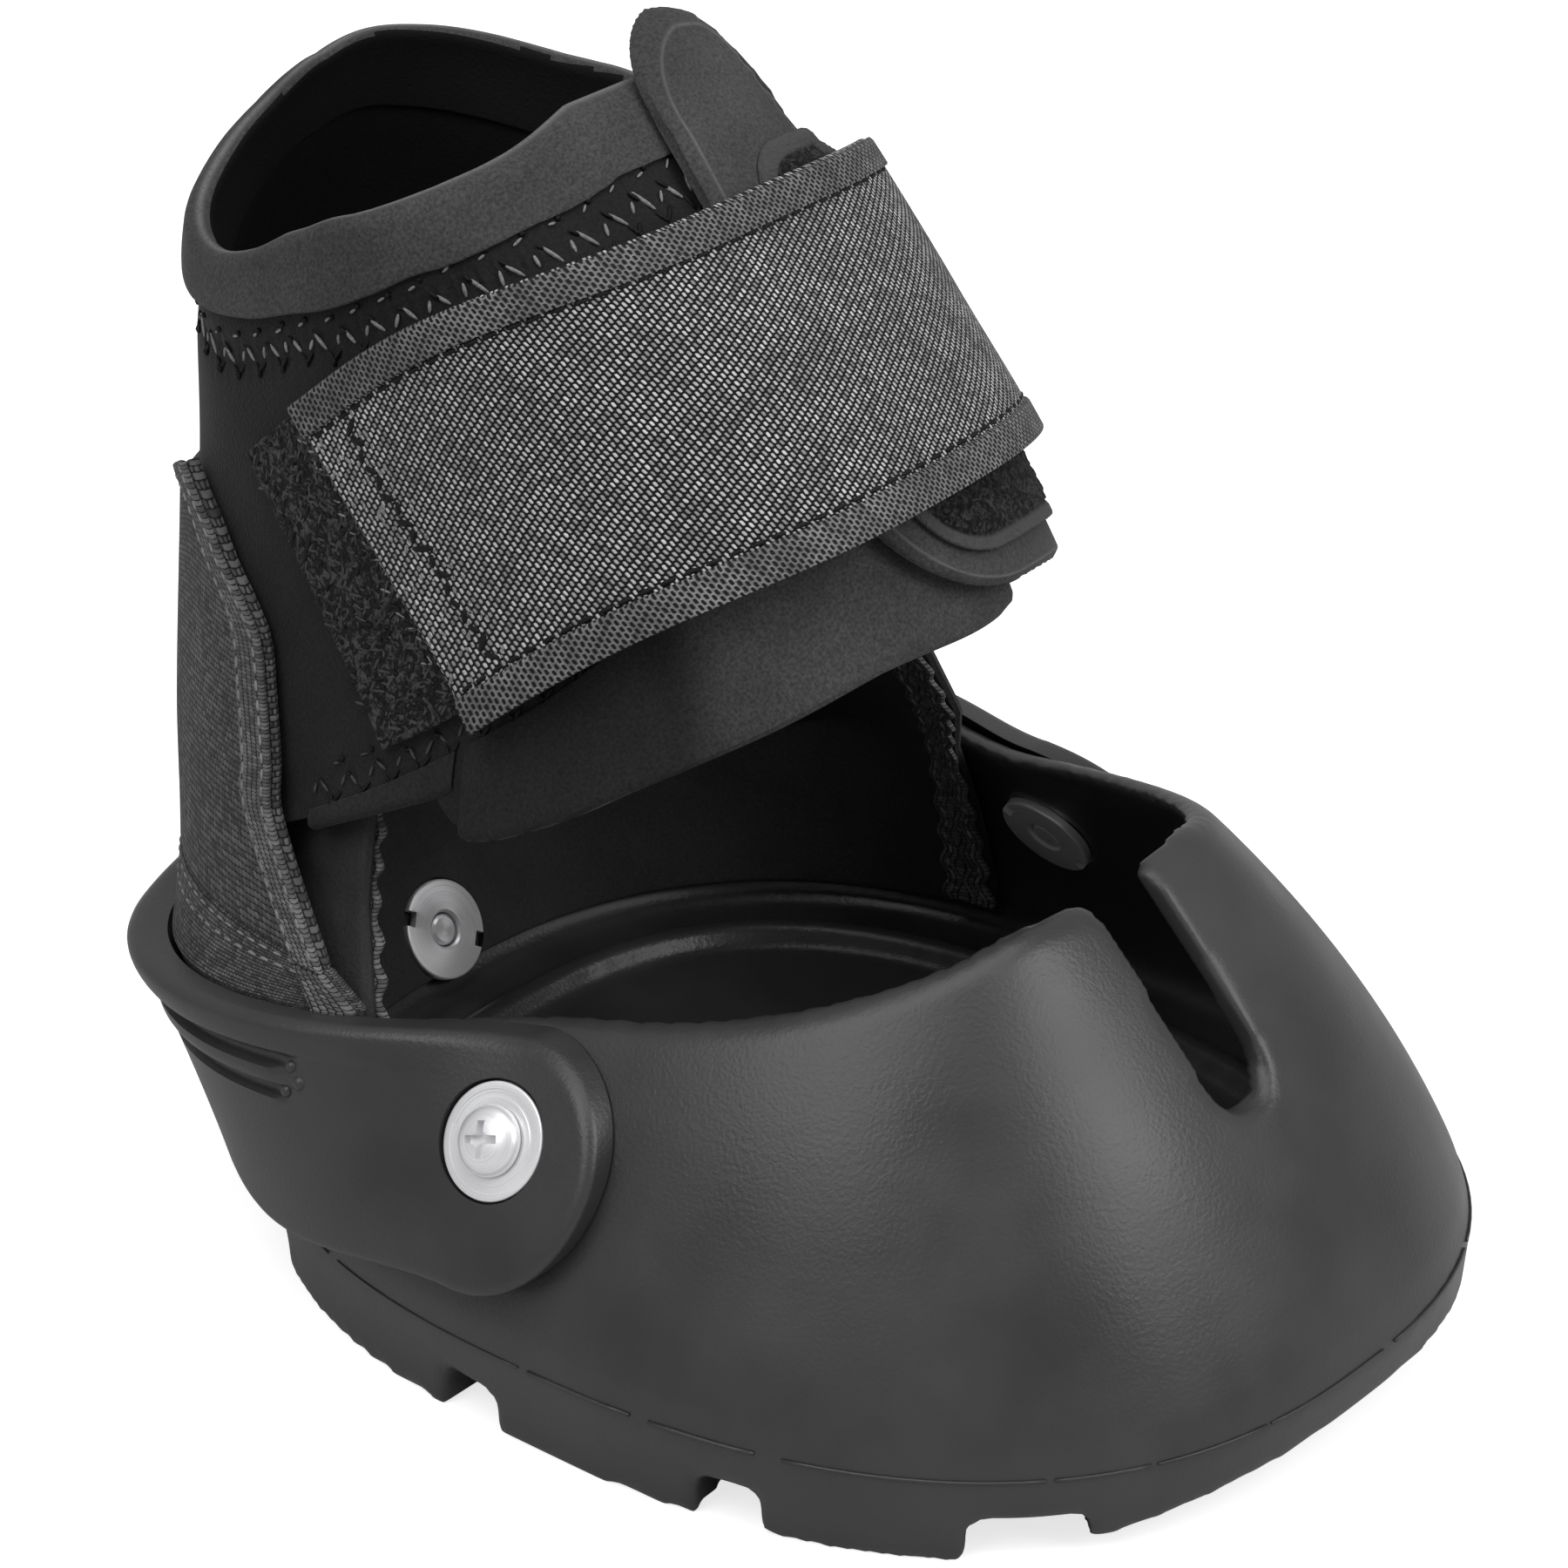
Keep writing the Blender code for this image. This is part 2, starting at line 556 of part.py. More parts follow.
def make_fastener(place, angle, height, clamped, steel, pieces):
    """Screw, washer and T-nut through the cradle and the wall, and the cuts that they need."""
    turn, here, level = bolt_frame(angle, height)
    frame = Matrix.Translation(here) @ turn
    nut_seat = NUT_SEAT - (WALL + clamped)*level
    washer_seat = (CRADLE_FIT + CRADLE_THICKNESS)*level - WASHER_RECESS
    hole = NUT_BARREL_RADIUS + FIT
    cutter = turned([(NUT_FLANGE_RADIUS + FIT, nut_seat - OVERRUN/2), (NUT_FLANGE_RADIUS + FIT, nut_seat),
                     (hole, nut_seat), (hole, washer_seat), (WASHER_RADIUS + FIT, washer_seat),
                     (WASHER_RADIUS + FIT, washer_seat + OVERRUN)])
    cutter = as_cutter(add_object(f"{place}_bolt_cutter", skin_rings(cutter), None))
    cutter.matrix_world = frame
    for piece in pieces:
        cut(piece, cutter)

    washer_foot = washer_seat + FIT
    washer_top = washer_foot + WASHER_THICKNESS
    bore = SCREW_RADIUS + FIT
    soft = WASHER_THICKNESS/4
    washer = turned([(bore, washer_foot), (WASHER_RADIUS - soft, washer_foot), (WASHER_RADIUS, washer_foot + soft),
                     (WASHER_RADIUS, washer_top - soft), (WASHER_RADIUS - soft, washer_top), (bore, washer_top)])
    washer = add_object(f"{place}_washer", skin_rings(washer, joined=True), steel)

    face = nut_seat - FIT - NUT_FLANGE
    back = nut_seat - FIT
    barrel = back + NUT_BARREL_LENGTH

    def notched(radius, k):
        quarter = k % (TURNED_STEPS//2)
        if radius > NUT_BARREL_RADIUS and quarter in (2, 3):
            return NUT_FLANGE_RADIUS - NUT_NOTCH
        return radius

    nut = turned([(bore, face), (NUT_FLANGE_RADIUS, face), (NUT_FLANGE_RADIUS, back), (NUT_BARREL_RADIUS, back),
                  (NUT_BARREL_RADIUS, barrel), (bore, barrel)], notched)
    nut = add_object(f"{place}_t_nut", skin_rings(nut, joined=True), steel)

    tip = face + FIT
    head = washer_top + FIT
    crown = head + SCREW_HEAD_HEIGHT
    profile = [(SCREW_RADIUS - FIT, tip), (SCREW_RADIUS, tip + FIT), (SCREW_RADIUS, head), (SCREW_HEAD_RADIUS, head)]
    for k in range(1, 5):
        a = math.radians(22*k)
        profile.append((SCREW_HEAD_RADIUS*math.cos(a), mix(head, crown, (0.3 + 0.7*math.sin(a)))))
    screw = add_object(f"{place}_screw", skin_rings(turned(profile)), steel)
    half = DRIVE_WIDTH/2
    span = DRIVE_SPAN/2
    cross = [(half, half), (half, span), (-half, span), (-half, half), (-span, half), (-span, -half), (-half, -half),
             (-half, -span), (half, -span), (half, -half), (span, -half), (span, half)]
    drive = as_cutter(add_object(f"{place}_drive_cutter", prism(cross, crown - DRIVE_DEPTH, crown + OVERRUN, 'Z'), None))
    cut(screw, drive)
    for item in (washer, nut, screw, drive):
        item.matrix_world = frame


def face_pair(place_at, inner, outer):
    """Inner and outer face functions of a layer, from a function of shares and an offset."""
    return (lambda u, v: place_at(u, v, inner)), (lambda u, v: place_at(u, v, outer))


def make_cuff(neoprene):
    """Cuff round the pastern, open down the front under the tab."""
    def place(u, v, out):
        angle = mix(CUFF_OPEN_END, CUFF_OPEN_START + 360, u)
        return gaiter_point(angle, mix(cuff_foot(angle), cuff_top(angle), v), out)

    return add_object("cuff", plate(CUFF_COLUMNS, 8, *face_pair(place, -CUFF_THICKNESS, 0.0)), neoprene)


def make_cuff_bindings(binding):
    """Bands sewn over the cuff's top edge, and over its lower edge on both sides."""
    def top(u, v, out):
        angle = mix(CUFF_OPEN_END, CUFF_OPEN_START + 360, u)
        high = cuff_top(angle)
        return gaiter_point(angle, mix(high - TOP_BINDING, high, v), out)

    layers = (FIT, FIT + BINDING_THICKNESS)
    bands = [add_object("cuff_top_binding", plate(CUFF_COLUMNS, 1, *face_pair(top, *layers)), binding)]
    for start, end, name in ((CUFF_OPEN_END, FOOT_BINDING_ANGLE, "cuff_foot_binding_left"),
                             (CUFF_OPEN_START, -FOOT_BINDING_ANGLE, "cuff_foot_binding_right")):
        def foot(u, v, out, start=start, end=end):
            angle = mix(start, end, u)
            low = cuff_foot(angle)
            return gaiter_point(angle, mix(low, low + FOOT_BINDING, v), out)

        columns = round(abs(end - start)/ANGLE_STEP)
        bands.append(add_object(name, plate(columns, 1, *face_pair(foot, *layers)), binding))
    return bands


def panel_point(across, share, out):
    """Point of the back panel: across runs from -1 to 1, share from its foot to its top."""
    half_angle = PANEL_HALF_ANGLE*smooth_table(PANEL_EDGE_SHARES, share)
    return gaiter_point(180 + across*half_angle, mix(SEAM_HEIGHT + FIT, PANEL_TOP, share), out)


def make_back_panel(nylon, binding):
    """Tongue of coarse cloth up the back of the cuff, and the tapes along its two edges."""
    def place(u, v, out):
        return panel_point(2*u - 1, v, out)

    foot = PANEL_FIT + PANEL_THICKNESS
    panel = add_object("back_panel", plate(26, 7, *face_pair(place, PANEL_FIT, foot)), nylon)
    pieces = [panel]
    for side, name in ((1, "panel_binding_right"), (-1, "panel_binding_left")):
        def strip(u, v, out, side=side):
            edge = panel_point(side, u, out)
            middle = panel_point(0.0, u, out)
            width = min(PANEL_BINDING/max((edge - middle).length, PANEL_BINDING), 0.9)
            return panel_point(side*(1 - width*v), u, out)

        work = plate(12, 1, *face_pair(strip, foot + FIT, foot + FIT + BINDING_THICKNESS))
        pieces.append(add_object(name, work, binding))
    return pieces


def make_heel_panel(nylon):
    """Flared cloth between the seam and the cradle, tucked inside the cradle's lip."""
    def place(u, v, out):
        low_angle = 180 + (2*u - 1)*HEEL_PANEL_HALF_ANGLE
        high_angle = 180 + (2*u - 1)*PANEL_HALF_ANGLE
        inside = out - PANEL_FIT - PANEL_THICKNESS - FIT
        foot = max(cradle_top(low_angle) - HEEL_PANEL_TUCK, rim_height(low_angle) + 2*FIT)
        low = wall_point(low_angle, foot, inside)
        lip = wall_point(low_angle, max(cradle_top(low_angle) + FIT, foot + FIT), inside)
        high = gaiter_point(high_angle, SEAM_HEIGHT - FIT, out)
        if v < 0.5:
            return low.lerp(lip, 2*v)
        return lip.lerp(high, 2*v - 1)

    work = plate(28, 4, *face_pair(place, PANEL_FIT, PANEL_FIT + PANEL_THICKNESS))
    return add_object("heel_panel", work, nylon)


def make_lining(lining):
    """Lining that stands inside the heel of the shell and rises inside the cuff."""
    def place(u, v, out):
        low_angle = mix(180 - LINING_LEFT_ANGLE, 180 + LINING_RIGHT_ANGLE, u)
        high_angle = mix(180 - LINING_TOP_LEFT_ANGLE, 180 + LINING_TOP_RIGHT_ANGLE, u)
        inside = out - WALL - LINING_GAP/2
        bend = rim_height(low_angle) - EDGE_ROUND
        if v <= 0.5:
            return wall_point(low_angle, mix(LINING_FOOT, bend, 2*v), inside)
        leave = wall_point(low_angle, bend, inside)
        meet = gaiter_point(high_angle, SEAM_HEIGHT + CUFF_FOOT_CLEARANCE, out - CUFF_THICKNESS - LINING_GAP)
        top = gaiter_point(high_angle, LINING_TOP, out - CUFF_THICKNESS - LINING_GAP)
        if v <= 0.75:
            return leave.lerp(meet, 4*v - 2)
        return meet.lerp(top, 4*v - 3)

    work = plate(24, 8, *face_pair(place, -LINING_THICKNESS, 0.0))
    return add_object("heel_lining", work, lining)


def tab_spread(from_edge, corner, tall):
    """How far a round corner draws the tab's edge in, at a distance from its free end."""
    if from_edge >= corner:
        return 0.0
    return min(corner - math.sqrt(corner**2 - (corner - max(from_edge, 0.0))**2), 0.45*tall)


def tab_place(inset, top_level, top_inset, foot_corner, top_corner):
    """Place function of the tab, or of what lies on it drawn in by insets and lower at the top."""
    free_angle = (TAB_FREE_FOOT_ANGLE + TAB_FREE_TOP_ANGLE)/2
    reach = gaiter_point(free_angle, LEVEL_MIDDLE) - gaiter_point(TAB_SEWN_ANGLE, LEVEL_MIDDLE)
    per_degree = reach.length/(TAB_SEWN_ANGLE - free_angle)
    tall = top_level - TAB_FOOT_LEVEL - inset

    def place(u, v, out):
        share = 1 - math.cos(u*math.pi/2) if u < 1 else 1.0
        free = mix(TAB_FREE_FOOT_ANGLE, TAB_FREE_TOP_ANGLE, v)
        angle = mix(free + inset/per_degree, TAB_SEWN_ANGLE - inset/per_degree/3, share)
        from_edge = (angle - free)*per_degree - inset
        shoulder = TAB_TOP_LEVEL - TAB_TOP_FALL*smooth_table(TAB_TOP_FALL_SHARES, angle) - top_inset
        top = min(top_level - tab_spread(from_edge, top_corner, tall), shoulder)
        low = height_on_plane(angle, STRAP_ANGLE, TAB_FOOT_LEVEL + inset + tab_spread(from_edge, foot_corner, tall))
        high = height_on_plane(angle, STRAP_ANGLE, top)
        return gaiter_point(angle, mix(low, high, v), out)

    return place


def layer_over(under, thickness):
    """Offsets of a layer that lies the usual fit above the one under it."""
    return under + FIT, under + FIT + thickness


def make_tab(neoprene, loop):
    """Round-ended tab that laps over the cuff's opening, and the loop patch sewn on it."""
    tab_layers = layer_over(FIT + BINDING_THICKNESS, TAB_THICKNESS)
    loop_layers = layer_over(tab_layers[1], LOOP_THICKNESS)
    tab_at = tab_place(0.0, TAB_TOP_LEVEL, 0.0, TAB_FOOT_CORNER, TAB_TOP_CORNER)
    tab = add_object("closing_tab", plate(24, 6, *face_pair(tab_at, *tab_layers)), neoprene)
    loop_at = tab_place(LOOP_INSET, LOOP_TOP_LEVEL, LOOP_TOP_INSET, LOOP_FOOT_CORNER, LOOP_TOP_CORNER)
    return tab, add_object("loop_patch", plate(18, 5, *face_pair(loop_at, *loop_layers)), loop)


def strap_lift(angle):
    """Offset of the strap's inner face: on the cuff's bands at the side, over the tab and patches in front."""
    side = FIT + BINDING_THICKNESS + FIT
    front = side + TAB_THICKNESS + FIT + LOOP_THICKNESS + FIT + HOOK_THICKNESS + FIT
    return mix(side, front, ease(STRAP_SEWN_TOP_ANGLE, STRAP_TAUT_ANGLE, angle))


def strap_place(u, v, out, margin=0.0):
    """Point of the strap: u runs from its sewn end to its free end, v across it."""
    start = mix(STRAP_SEWN_FOOT_ANGLE, STRAP_SEWN_TOP_ANGLE, v)
    angle = mix(start, STRAP_FREE_ANGLE, u)
    foot = mix(STRAP_FOOT_SEWN, STRAP_FOOT_FREE, u) + margin
    top = mix(STRAP_TOP_SEWN, STRAP_TOP_FREE, u) - margin
    height = height_on_plane(angle, STRAP_ANGLE, mix(foot, top, v))
    return gaiter_point(angle, height, strap_lift(angle) + out)


def make_strap(webbing, binding, hook):
    strap = add_object("strap", plate(26, 4, *face_pair(strap_place, 0.0, STRAP_THICKNESS)), webbing)
    pieces = [strap]
    wide = STRAP_TOP_SEWN - STRAP_FOOT_SEWN
    for name, start, end in (("strap_binding_foot", 0.0, STRAP_BINDING/wide),
                             ("strap_binding_top", 1 - STRAP_BINDING/wide, 1.0)):
        def edge(u, v, out, start=start, end=end):
            return strap_place(u, mix(start, end, v), out)

        layers = layer_over(STRAP_THICKNESS, STRAP_BINDING_THICKNESS)
        pieces.append(add_object(name, plate(26, 1, *face_pair(edge, *layers)), binding))

    def hook_place(u, v, out):
        start = mix(STRAP_SEWN_FOOT_ANGLE, STRAP_SEWN_TOP_ANGLE, 0.5)
        from_share = (HOOK_START_ANGLE - start)/(STRAP_FREE_ANGLE - start)
        to_share = 1 - (1 - from_share)/12
        inset = HOOK_INSET/wide
        return strap_place(mix(from_share, to_share, u), mix(inset, 1 - inset, v), out)

    work = plate(9, 3, *face_pair(hook_place, -FIT - HOOK_THICKNESS, -FIT))
    pieces.append(add_object("hook_patch", work, hook))
    return pieces


def make_anchor(webbing):
    """Tape under the strap's sewn end, which holds it to the cuff."""
    def place(u, v, out):
        edge = mix(STRAP_SEWN_FOOT_ANGLE, STRAP_SEWN_TOP_ANGLE, v)
        angle = mix(edge - ANCHOR_REACH_ANGLE, edge + ANCHOR_TUCK_ANGLE, u)
        low = max(height_on_plane(angle, STRAP_ANGLE, STRAP_FOOT_SEWN), cuff_foot(angle) + FOOT_BINDING + FIT)
        high = height_on_plane(angle, STRAP_ANGLE, STRAP_TOP_SEWN)
        return gaiter_point(angle, mix(low, high, v), out)

    return add_object("strap_anchor", plate(6, 5, *face_pair(place, FIT, FIT + ANCHOR_THICKNESS)), webbing)


def make_hinge(name, at, along=None):
    """Empty on a joint's axis, with its own X along the axis."""
    hinge = bpy.data.objects.new(name, None)
    hinge.empty_display_size = WALL
    bpy.context.scene.collection.objects.link(hinge)
    hinge.location = at
    if along:
        hinge.rotation_euler = along.to_track_quat('X', 'Z').to_euler()
    return hinge


def hang(pieces, hinge):
    """Parent pieces to a hinge without moving them."""
    bpy.context.view_layer.update()
    for piece in pieces:
        kept = piece.matrix_world.copy()
        piece.parent = hinge
        piece.matrix_parent_inverse = hinge.matrix_world.inverted()
        piece.matrix_world = kept


def centre_on_origin():
    """Bring the middle of the boot's length over the origin."""
    bpy.context.view_layer.update()
    places = [(item.matrix_world @ vertex.co).y for item in bpy.data.objects
              if item.type == 'MESH' and not item.hide_render for vertex in item.data.vertices]
    shift = -(min(places) + max(places))/2
    for item in bpy.data.objects:
        if item.parent is None:
            item.location.y += shift
    bpy.context.view_layer.update()


def main():
    for item in list(bpy.data.objects):
        bpy.data.objects.remove(item, do_unlink=True)

    rubber = make_material("black_rubber", 0.030, 0.45)
    cradle_rubber = make_material("cradle_rubber", 0.035, 0.42)
    neoprene = make_material("neoprene", 0.028, 0.80)
    binding = make_material("edge_binding", 0.040, 0.75)
    nylon = make_material("coarse_nylon", 0.050, 0.85)
    lining = make_material("lining_cloth", 0.018, 0.60)
    webbing = make_material("strap_webbing", 0.080, 0.80)
    loop = make_material("loop_tape", 0.020, 0.95)
    hook = make_material("hook_tape", 0.020, 0.55)
    steel = make_material("zinc_steel", 0.620, 0.30, 1.0)

    shell = make_shell(rubber)
    cradle = make_cradle(cradle_rubber)
    lining_piece = make_lining(lining)
    make_heel_panel(nylon)
    make_fastener("side_left", SIDE_BOLT_ANGLE, SIDE_BOLT_HEIGHT, 0.0, steel, (shell, cradle))
    make_fastener("side_right", -SIDE_BOLT_ANGLE, SIDE_BOLT_HEIGHT, 0.0, steel, (shell, cradle))
    make_fastener("heel", 180.0, HEEL_BOLT_HEIGHT, FIT + LINING_THICKNESS, steel, (shell, cradle, lining_piece))

    on_gaiter = [make_cuff(neoprene), make_anchor(webbing)]
    on_gaiter += make_cuff_bindings(binding)
    on_gaiter += make_back_panel(nylon, binding)
    on_tab = make_tab(neoprene, loop)
    on_strap = make_strap(webbing, binding, hook)

    fold_at = gaiter_point(180.0, SEAM_HEIGHT, PANEL_FIT + PANEL_THICKNESS)
    gaiter_hinge = make_hinge("gaiter_hinge", fold_at)
    strap_foot = strap_place(0.0, 0.0, 0.0)
    strap_top = strap_place(0.0, 1.0, 0.0)
    strap_hinge = make_hinge("strap_hinge", (strap_foot + strap_top)/2, strap_top - strap_foot)
    tab_at = tab_place(0.0, TAB_TOP_LEVEL, 0.0, TAB_FOOT_CORNER, TAB_TOP_CORNER)
    tab_foot, tab_top = (tab_at(1.0, v, FIT + BINDING_THICKNESS + FIT) for v in (0.0, 1.0))
    tab_hinge = make_hinge("tab_hinge", (tab_foot + tab_top)/2, tab_top - tab_foot)
    hang(on_strap, strap_hinge)
    hang(on_tab, tab_hinge)
    hang(on_gaiter + [strap_hinge, tab_hinge], gaiter_hinge)
    centre_on_origin()


main()
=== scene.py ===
"""Looks of the horse hoof boot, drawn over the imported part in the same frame.

The shapes follow the part's own sizes, so each piece lies where its solid lies.
The back panel, the tip of the tab and the cuff's top edge follow the photograph more closely.
They are worked out in the frame the part was drawn in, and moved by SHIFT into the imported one.
Angles round the boot are degrees: 0 at the toe, 90 on the +X side, 180 at the heel.
"""
import math
import random
from bisect import bisect
from functools import lru_cache

import bmesh
import bpy
from mathutils import Matrix, Vector, kdtree, noise
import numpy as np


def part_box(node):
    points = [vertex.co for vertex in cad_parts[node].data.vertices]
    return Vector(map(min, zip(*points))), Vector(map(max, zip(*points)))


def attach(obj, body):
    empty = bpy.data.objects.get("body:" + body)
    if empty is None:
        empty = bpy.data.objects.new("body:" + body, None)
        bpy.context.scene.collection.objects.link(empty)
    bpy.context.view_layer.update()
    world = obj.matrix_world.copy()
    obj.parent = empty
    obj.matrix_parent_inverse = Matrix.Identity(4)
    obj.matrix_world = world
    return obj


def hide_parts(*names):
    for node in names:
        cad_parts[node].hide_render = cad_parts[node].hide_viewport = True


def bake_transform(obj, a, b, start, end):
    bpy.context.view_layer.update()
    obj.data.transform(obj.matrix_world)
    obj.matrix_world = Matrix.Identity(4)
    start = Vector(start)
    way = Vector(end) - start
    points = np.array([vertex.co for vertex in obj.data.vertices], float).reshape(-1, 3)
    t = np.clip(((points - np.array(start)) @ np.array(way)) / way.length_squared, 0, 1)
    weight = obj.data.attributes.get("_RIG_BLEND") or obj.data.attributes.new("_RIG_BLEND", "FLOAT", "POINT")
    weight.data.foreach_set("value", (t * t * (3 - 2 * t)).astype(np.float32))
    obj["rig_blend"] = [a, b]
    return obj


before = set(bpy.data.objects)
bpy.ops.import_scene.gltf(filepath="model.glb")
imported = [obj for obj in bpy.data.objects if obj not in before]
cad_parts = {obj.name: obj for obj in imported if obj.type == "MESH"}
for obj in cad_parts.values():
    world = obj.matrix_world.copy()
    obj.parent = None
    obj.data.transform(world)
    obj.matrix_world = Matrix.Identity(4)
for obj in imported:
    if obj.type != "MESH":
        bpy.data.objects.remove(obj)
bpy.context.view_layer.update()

# Shell
HALF_WIDTH = 0.0626
TOE_REACH = 0.0770
HEEL_REACH = 0.0700
SQUARENESS = 2.4
PARTING_HEIGHT = 0.0117
PARTING_LEDGE = 0.0007
SOLE_DRAFT = 0.0009
WALL = 0.0040
FLOOR_HEIGHT = 0.0095
FLOOR_FILLET = 0.0030
RIM_ROUND = 0.0013
TOE_LEAN = 0.43
SIDE_LEAN = 0.325
HEEL_LEAN = -0.48
WALL_BOW_RADIUS = 0.0810
HEEL_FLARE_START = 94.0
HEEL_FLARE_FULL = 150.0
RIM_HEIGHTS = ((0, 0.0610), (45, 0.0598), (90, 0.0471), (120, 0.0398), (150, 0.0272), (180, 0.0272))
SLOT_WIDTH = 0.0108
SLOT_FOOT = 0.0387
BEVEL_START = 0.0600
BEVEL_RISE = 0.0058
TREAD_DEPTH = 0.0056
TREAD_BORDER = 0.0200
GROOVES = ((67.4, 0.0080), (95.2, 0.0080), (132.0, 0.0080), (40.7, 0.0140))
FLOOR_RING_INSET = 0.0150
FLOOR_RING_LIFT = 0.0010
FLOOR_RING_RADIUS = 0.0020
FLOOR_RIB_PITCH = 0.0048
FLOOR_RIB_RADIUS = 0.0015
WALL_ROWS = 14
CORNER_SHARE = 0.29
BEVEL_BLOCK = (0.2, 0.08, 0.03)
SLOT_CUT = 0.0500
LUG_CORNER = 0.0014
CUT_BEYOND = 0.0120
VOXEL = 0.0009

# Flash where the halves of the shell's mould met: angles of its runs and gaps, and its radii
FLASH_END = 170.0
FLASH_RUNS = (9.0, 30.0)
FLASH_GAPS = (0.5, 2.5)
FLASH_RADII = (0.00012, 0.00024)
FLASH_DROP = 0.0004
FLASH_SINK = 0.0001

# Heel cradle
CRADLE_THICKNESS = 0.0040
CRADLE_FIT = 0.0004
CRADLE_FOOT = 0.0130
CRADLE_TOPS = ((107, 0.0438), (122, 0.0410), (150, 0.0365), (180, 0.0365))
CRADLE_ROUND = 0.0014
LIP_BULGE = 0.0019
LIP_HEIGHT = 0.0044
GROOVE_DEPTH = 0.0013
GROOVE_HALF = 0.0006
LIP_GROOVES = (0.0053, 0.0092)
LIP_SWELLS = (102, 152)
GROOVES_START = (117.5, 120.5)
LIP_RIB = 0.0005
LIP_RIB_HALF = 0.0014
LIP_STUDS = ((0.0058, 118.4, 0.0008), (0.0077, 117.4, 0.0010), (0.0090, 118.6, 0.0008))
EAR_RADIUS = 0.0146
EAR_RISE = 0.0122
EAR_SHARE = 0.22
CRADLE_FALLS = (0.0, 0.15, 0.4, 0.8, 1.2, 1.7, 2.2, 2.7, 3.2, 3.6, 4.0, 4.4, 4.6, 4.8, 5.0, 5.3,
                5.6, 5.8, 6.0, 6.4, 7.0, 7.6, 8.1, 8.5, 8.7, 8.9, 9.2, 9.5, 9.7, 9.9, 10.3, 11.0,
                12.0)
CRADLE_LOWER_SHARES = (0.16, 0.32, 0.48, 0.64, 0.8)
CRADLE_FOOT_RISES = (0.0030, 0.0022, 0.0015, 0.0010, 0.0006, 0.0003, 0.0001, 0.0)
CRADLE_FULL_HEIGHT = 0.0200

# Fasteners
SIDE_BOLT_ANGLE = 96.0
SIDE_BOLT_HEIGHT = 0.0332
HEEL_BOLT_HEIGHT = 0.0152
WASHER_RADIUS = 0.0070
WASHER_THICKNESS = 0.0010
WASHER_RECESS = 0.0014
SCREW_HEAD_RADIUS = 0.0042
SCREW_HEAD_HEIGHT = 0.0024
SCREW_RADIUS = 0.0020
NUT_FLANGE_RADIUS = 0.0065
NUT_FLANGE = 0.0011
NUT_BARREL_RADIUS = 0.0033
NUT_BARREL_LENGTH = 0.0030
NUT_SEAT = 0.0006
NUT_POCKET = 0.0050
WASHER_POCKET = 0.0100
HOLE_OVERLAP = 0.0010
DISC_ROUND = 0.00025
WASHER_GROOVE = ((0.0061, 0.0), (0.0060, -0.00012), (0.0053, -0.00012), (0.0052, 0.0))
NUT_NOTCH = (0.0028, 0.0020, 0.0060)
NOTCH_TURN = 35
CHAMFER = 0.0003
TIP_CHAMFER = 0.0004
TIP_INSET = 0.0002
CROSS_SLOTS = ((20, 0.0028), (110, 0.0026))
CROSS_LENGTH = 0.0044
CROSS_WIDTH = 0.0010
CROSS_PIT_RADIUS = 0.0011

# Gaiter: the outer face of the cuff, level by level
SEAM_HEIGHT = 0.0450
HALF_WIDTHS = ((0.033, 0.0530), (0.045, 0.0500), (0.060, 0.0435), (0.085, 0.0370), (0.112, 0.0340),
               (0.150, 0.0325))
BACKS = ((0.033, 0.0810), (0.045, 0.0825), (0.060, 0.0880), (0.085, 0.0910), (0.112, 0.0905),
         (0.150, 0.0760))
FRONTS = ((0.033, -0.0220), (0.060, -0.0210), (0.085, -0.0155), (0.112, 0.0045), (0.150, 0.0450))
SQUARENESSES = ((0.045, 2.6), (0.112, 2.2))
LEVEL_TOP = 0.1500

# Layers of the gaiter
CUFF_THICKNESS = 0.0035
PANEL_THICKNESS = 0.0016
LINING_THICKNESS = 0.0018
BINDING_THICKNESS = 0.0010
ANCHOR_THICKNESS = 0.0010
TAB_THICKNESS = 0.0034
LOOP_THICKNESS = 0.0012
HOOK_THICKNESS = 0.0012
STRAP_THICKNESS = 0.0016
FIT = 0.0003
PANEL_FIT = 0.0010

# Cuff, with the drops of its bands and stitched rows from its edges
CUFF_FOOT_ANGLE = 27.0
CUFF_FOOT_LEVEL = 0.0717
CUFF_FOOT_CLEARANCE = 0.0045
CUFF_TOP_ANGLE = 28.0
CUFF_TOP_LEVEL = 0.1400
CUFF_BACK_RISE = 0.0135
CUFF_LEFT_RISE = 0.0040
CUFF_OPEN_START = 22.0
CUFF_OPEN_END = 33.0
CUFF_TOP_DROPS = ((22, 0.0), (33, 0.0064), (60, 0.0064), (80, 0.0049), (104, 0.0030), (120, 0.0028),
                  (136, 0.0013), (152, -0.0010), (170, -0.0042), (182, -0.0046), (192, -0.0026),
                  (202, 0.0), (214, 0.0036), (226, 0.0062), (238, 0.0068), (250, 0.0049),
                  (262, 0.0022), (274, 0.0015), (286, 0.0020), (300, 0.0022), (320, 0.0020),
                  (332, 0.0014), (346, 0.0))
CUFF_BELLS = ((196, 0.0), (208, 0.0010), (220, 0.0019), (232, 0.0018), (244, 0.0010), (256, 0.0))
BELL_DEPTH = 0.0160
CUFF_FOOT_DROPS = ((-84, 0.0), (-79, 0.00543), (-67, 0.0067), (-55, 0.00549), (-39, 0.00422),
                   (-18, 0.00281), (22, 0.00281), (33, -0.00449), (60, -0.00449), (84, 0.0))
FLAP_CORNER_ANGLE = 79.0
FOOT_BAND_ANGLE = 104.0
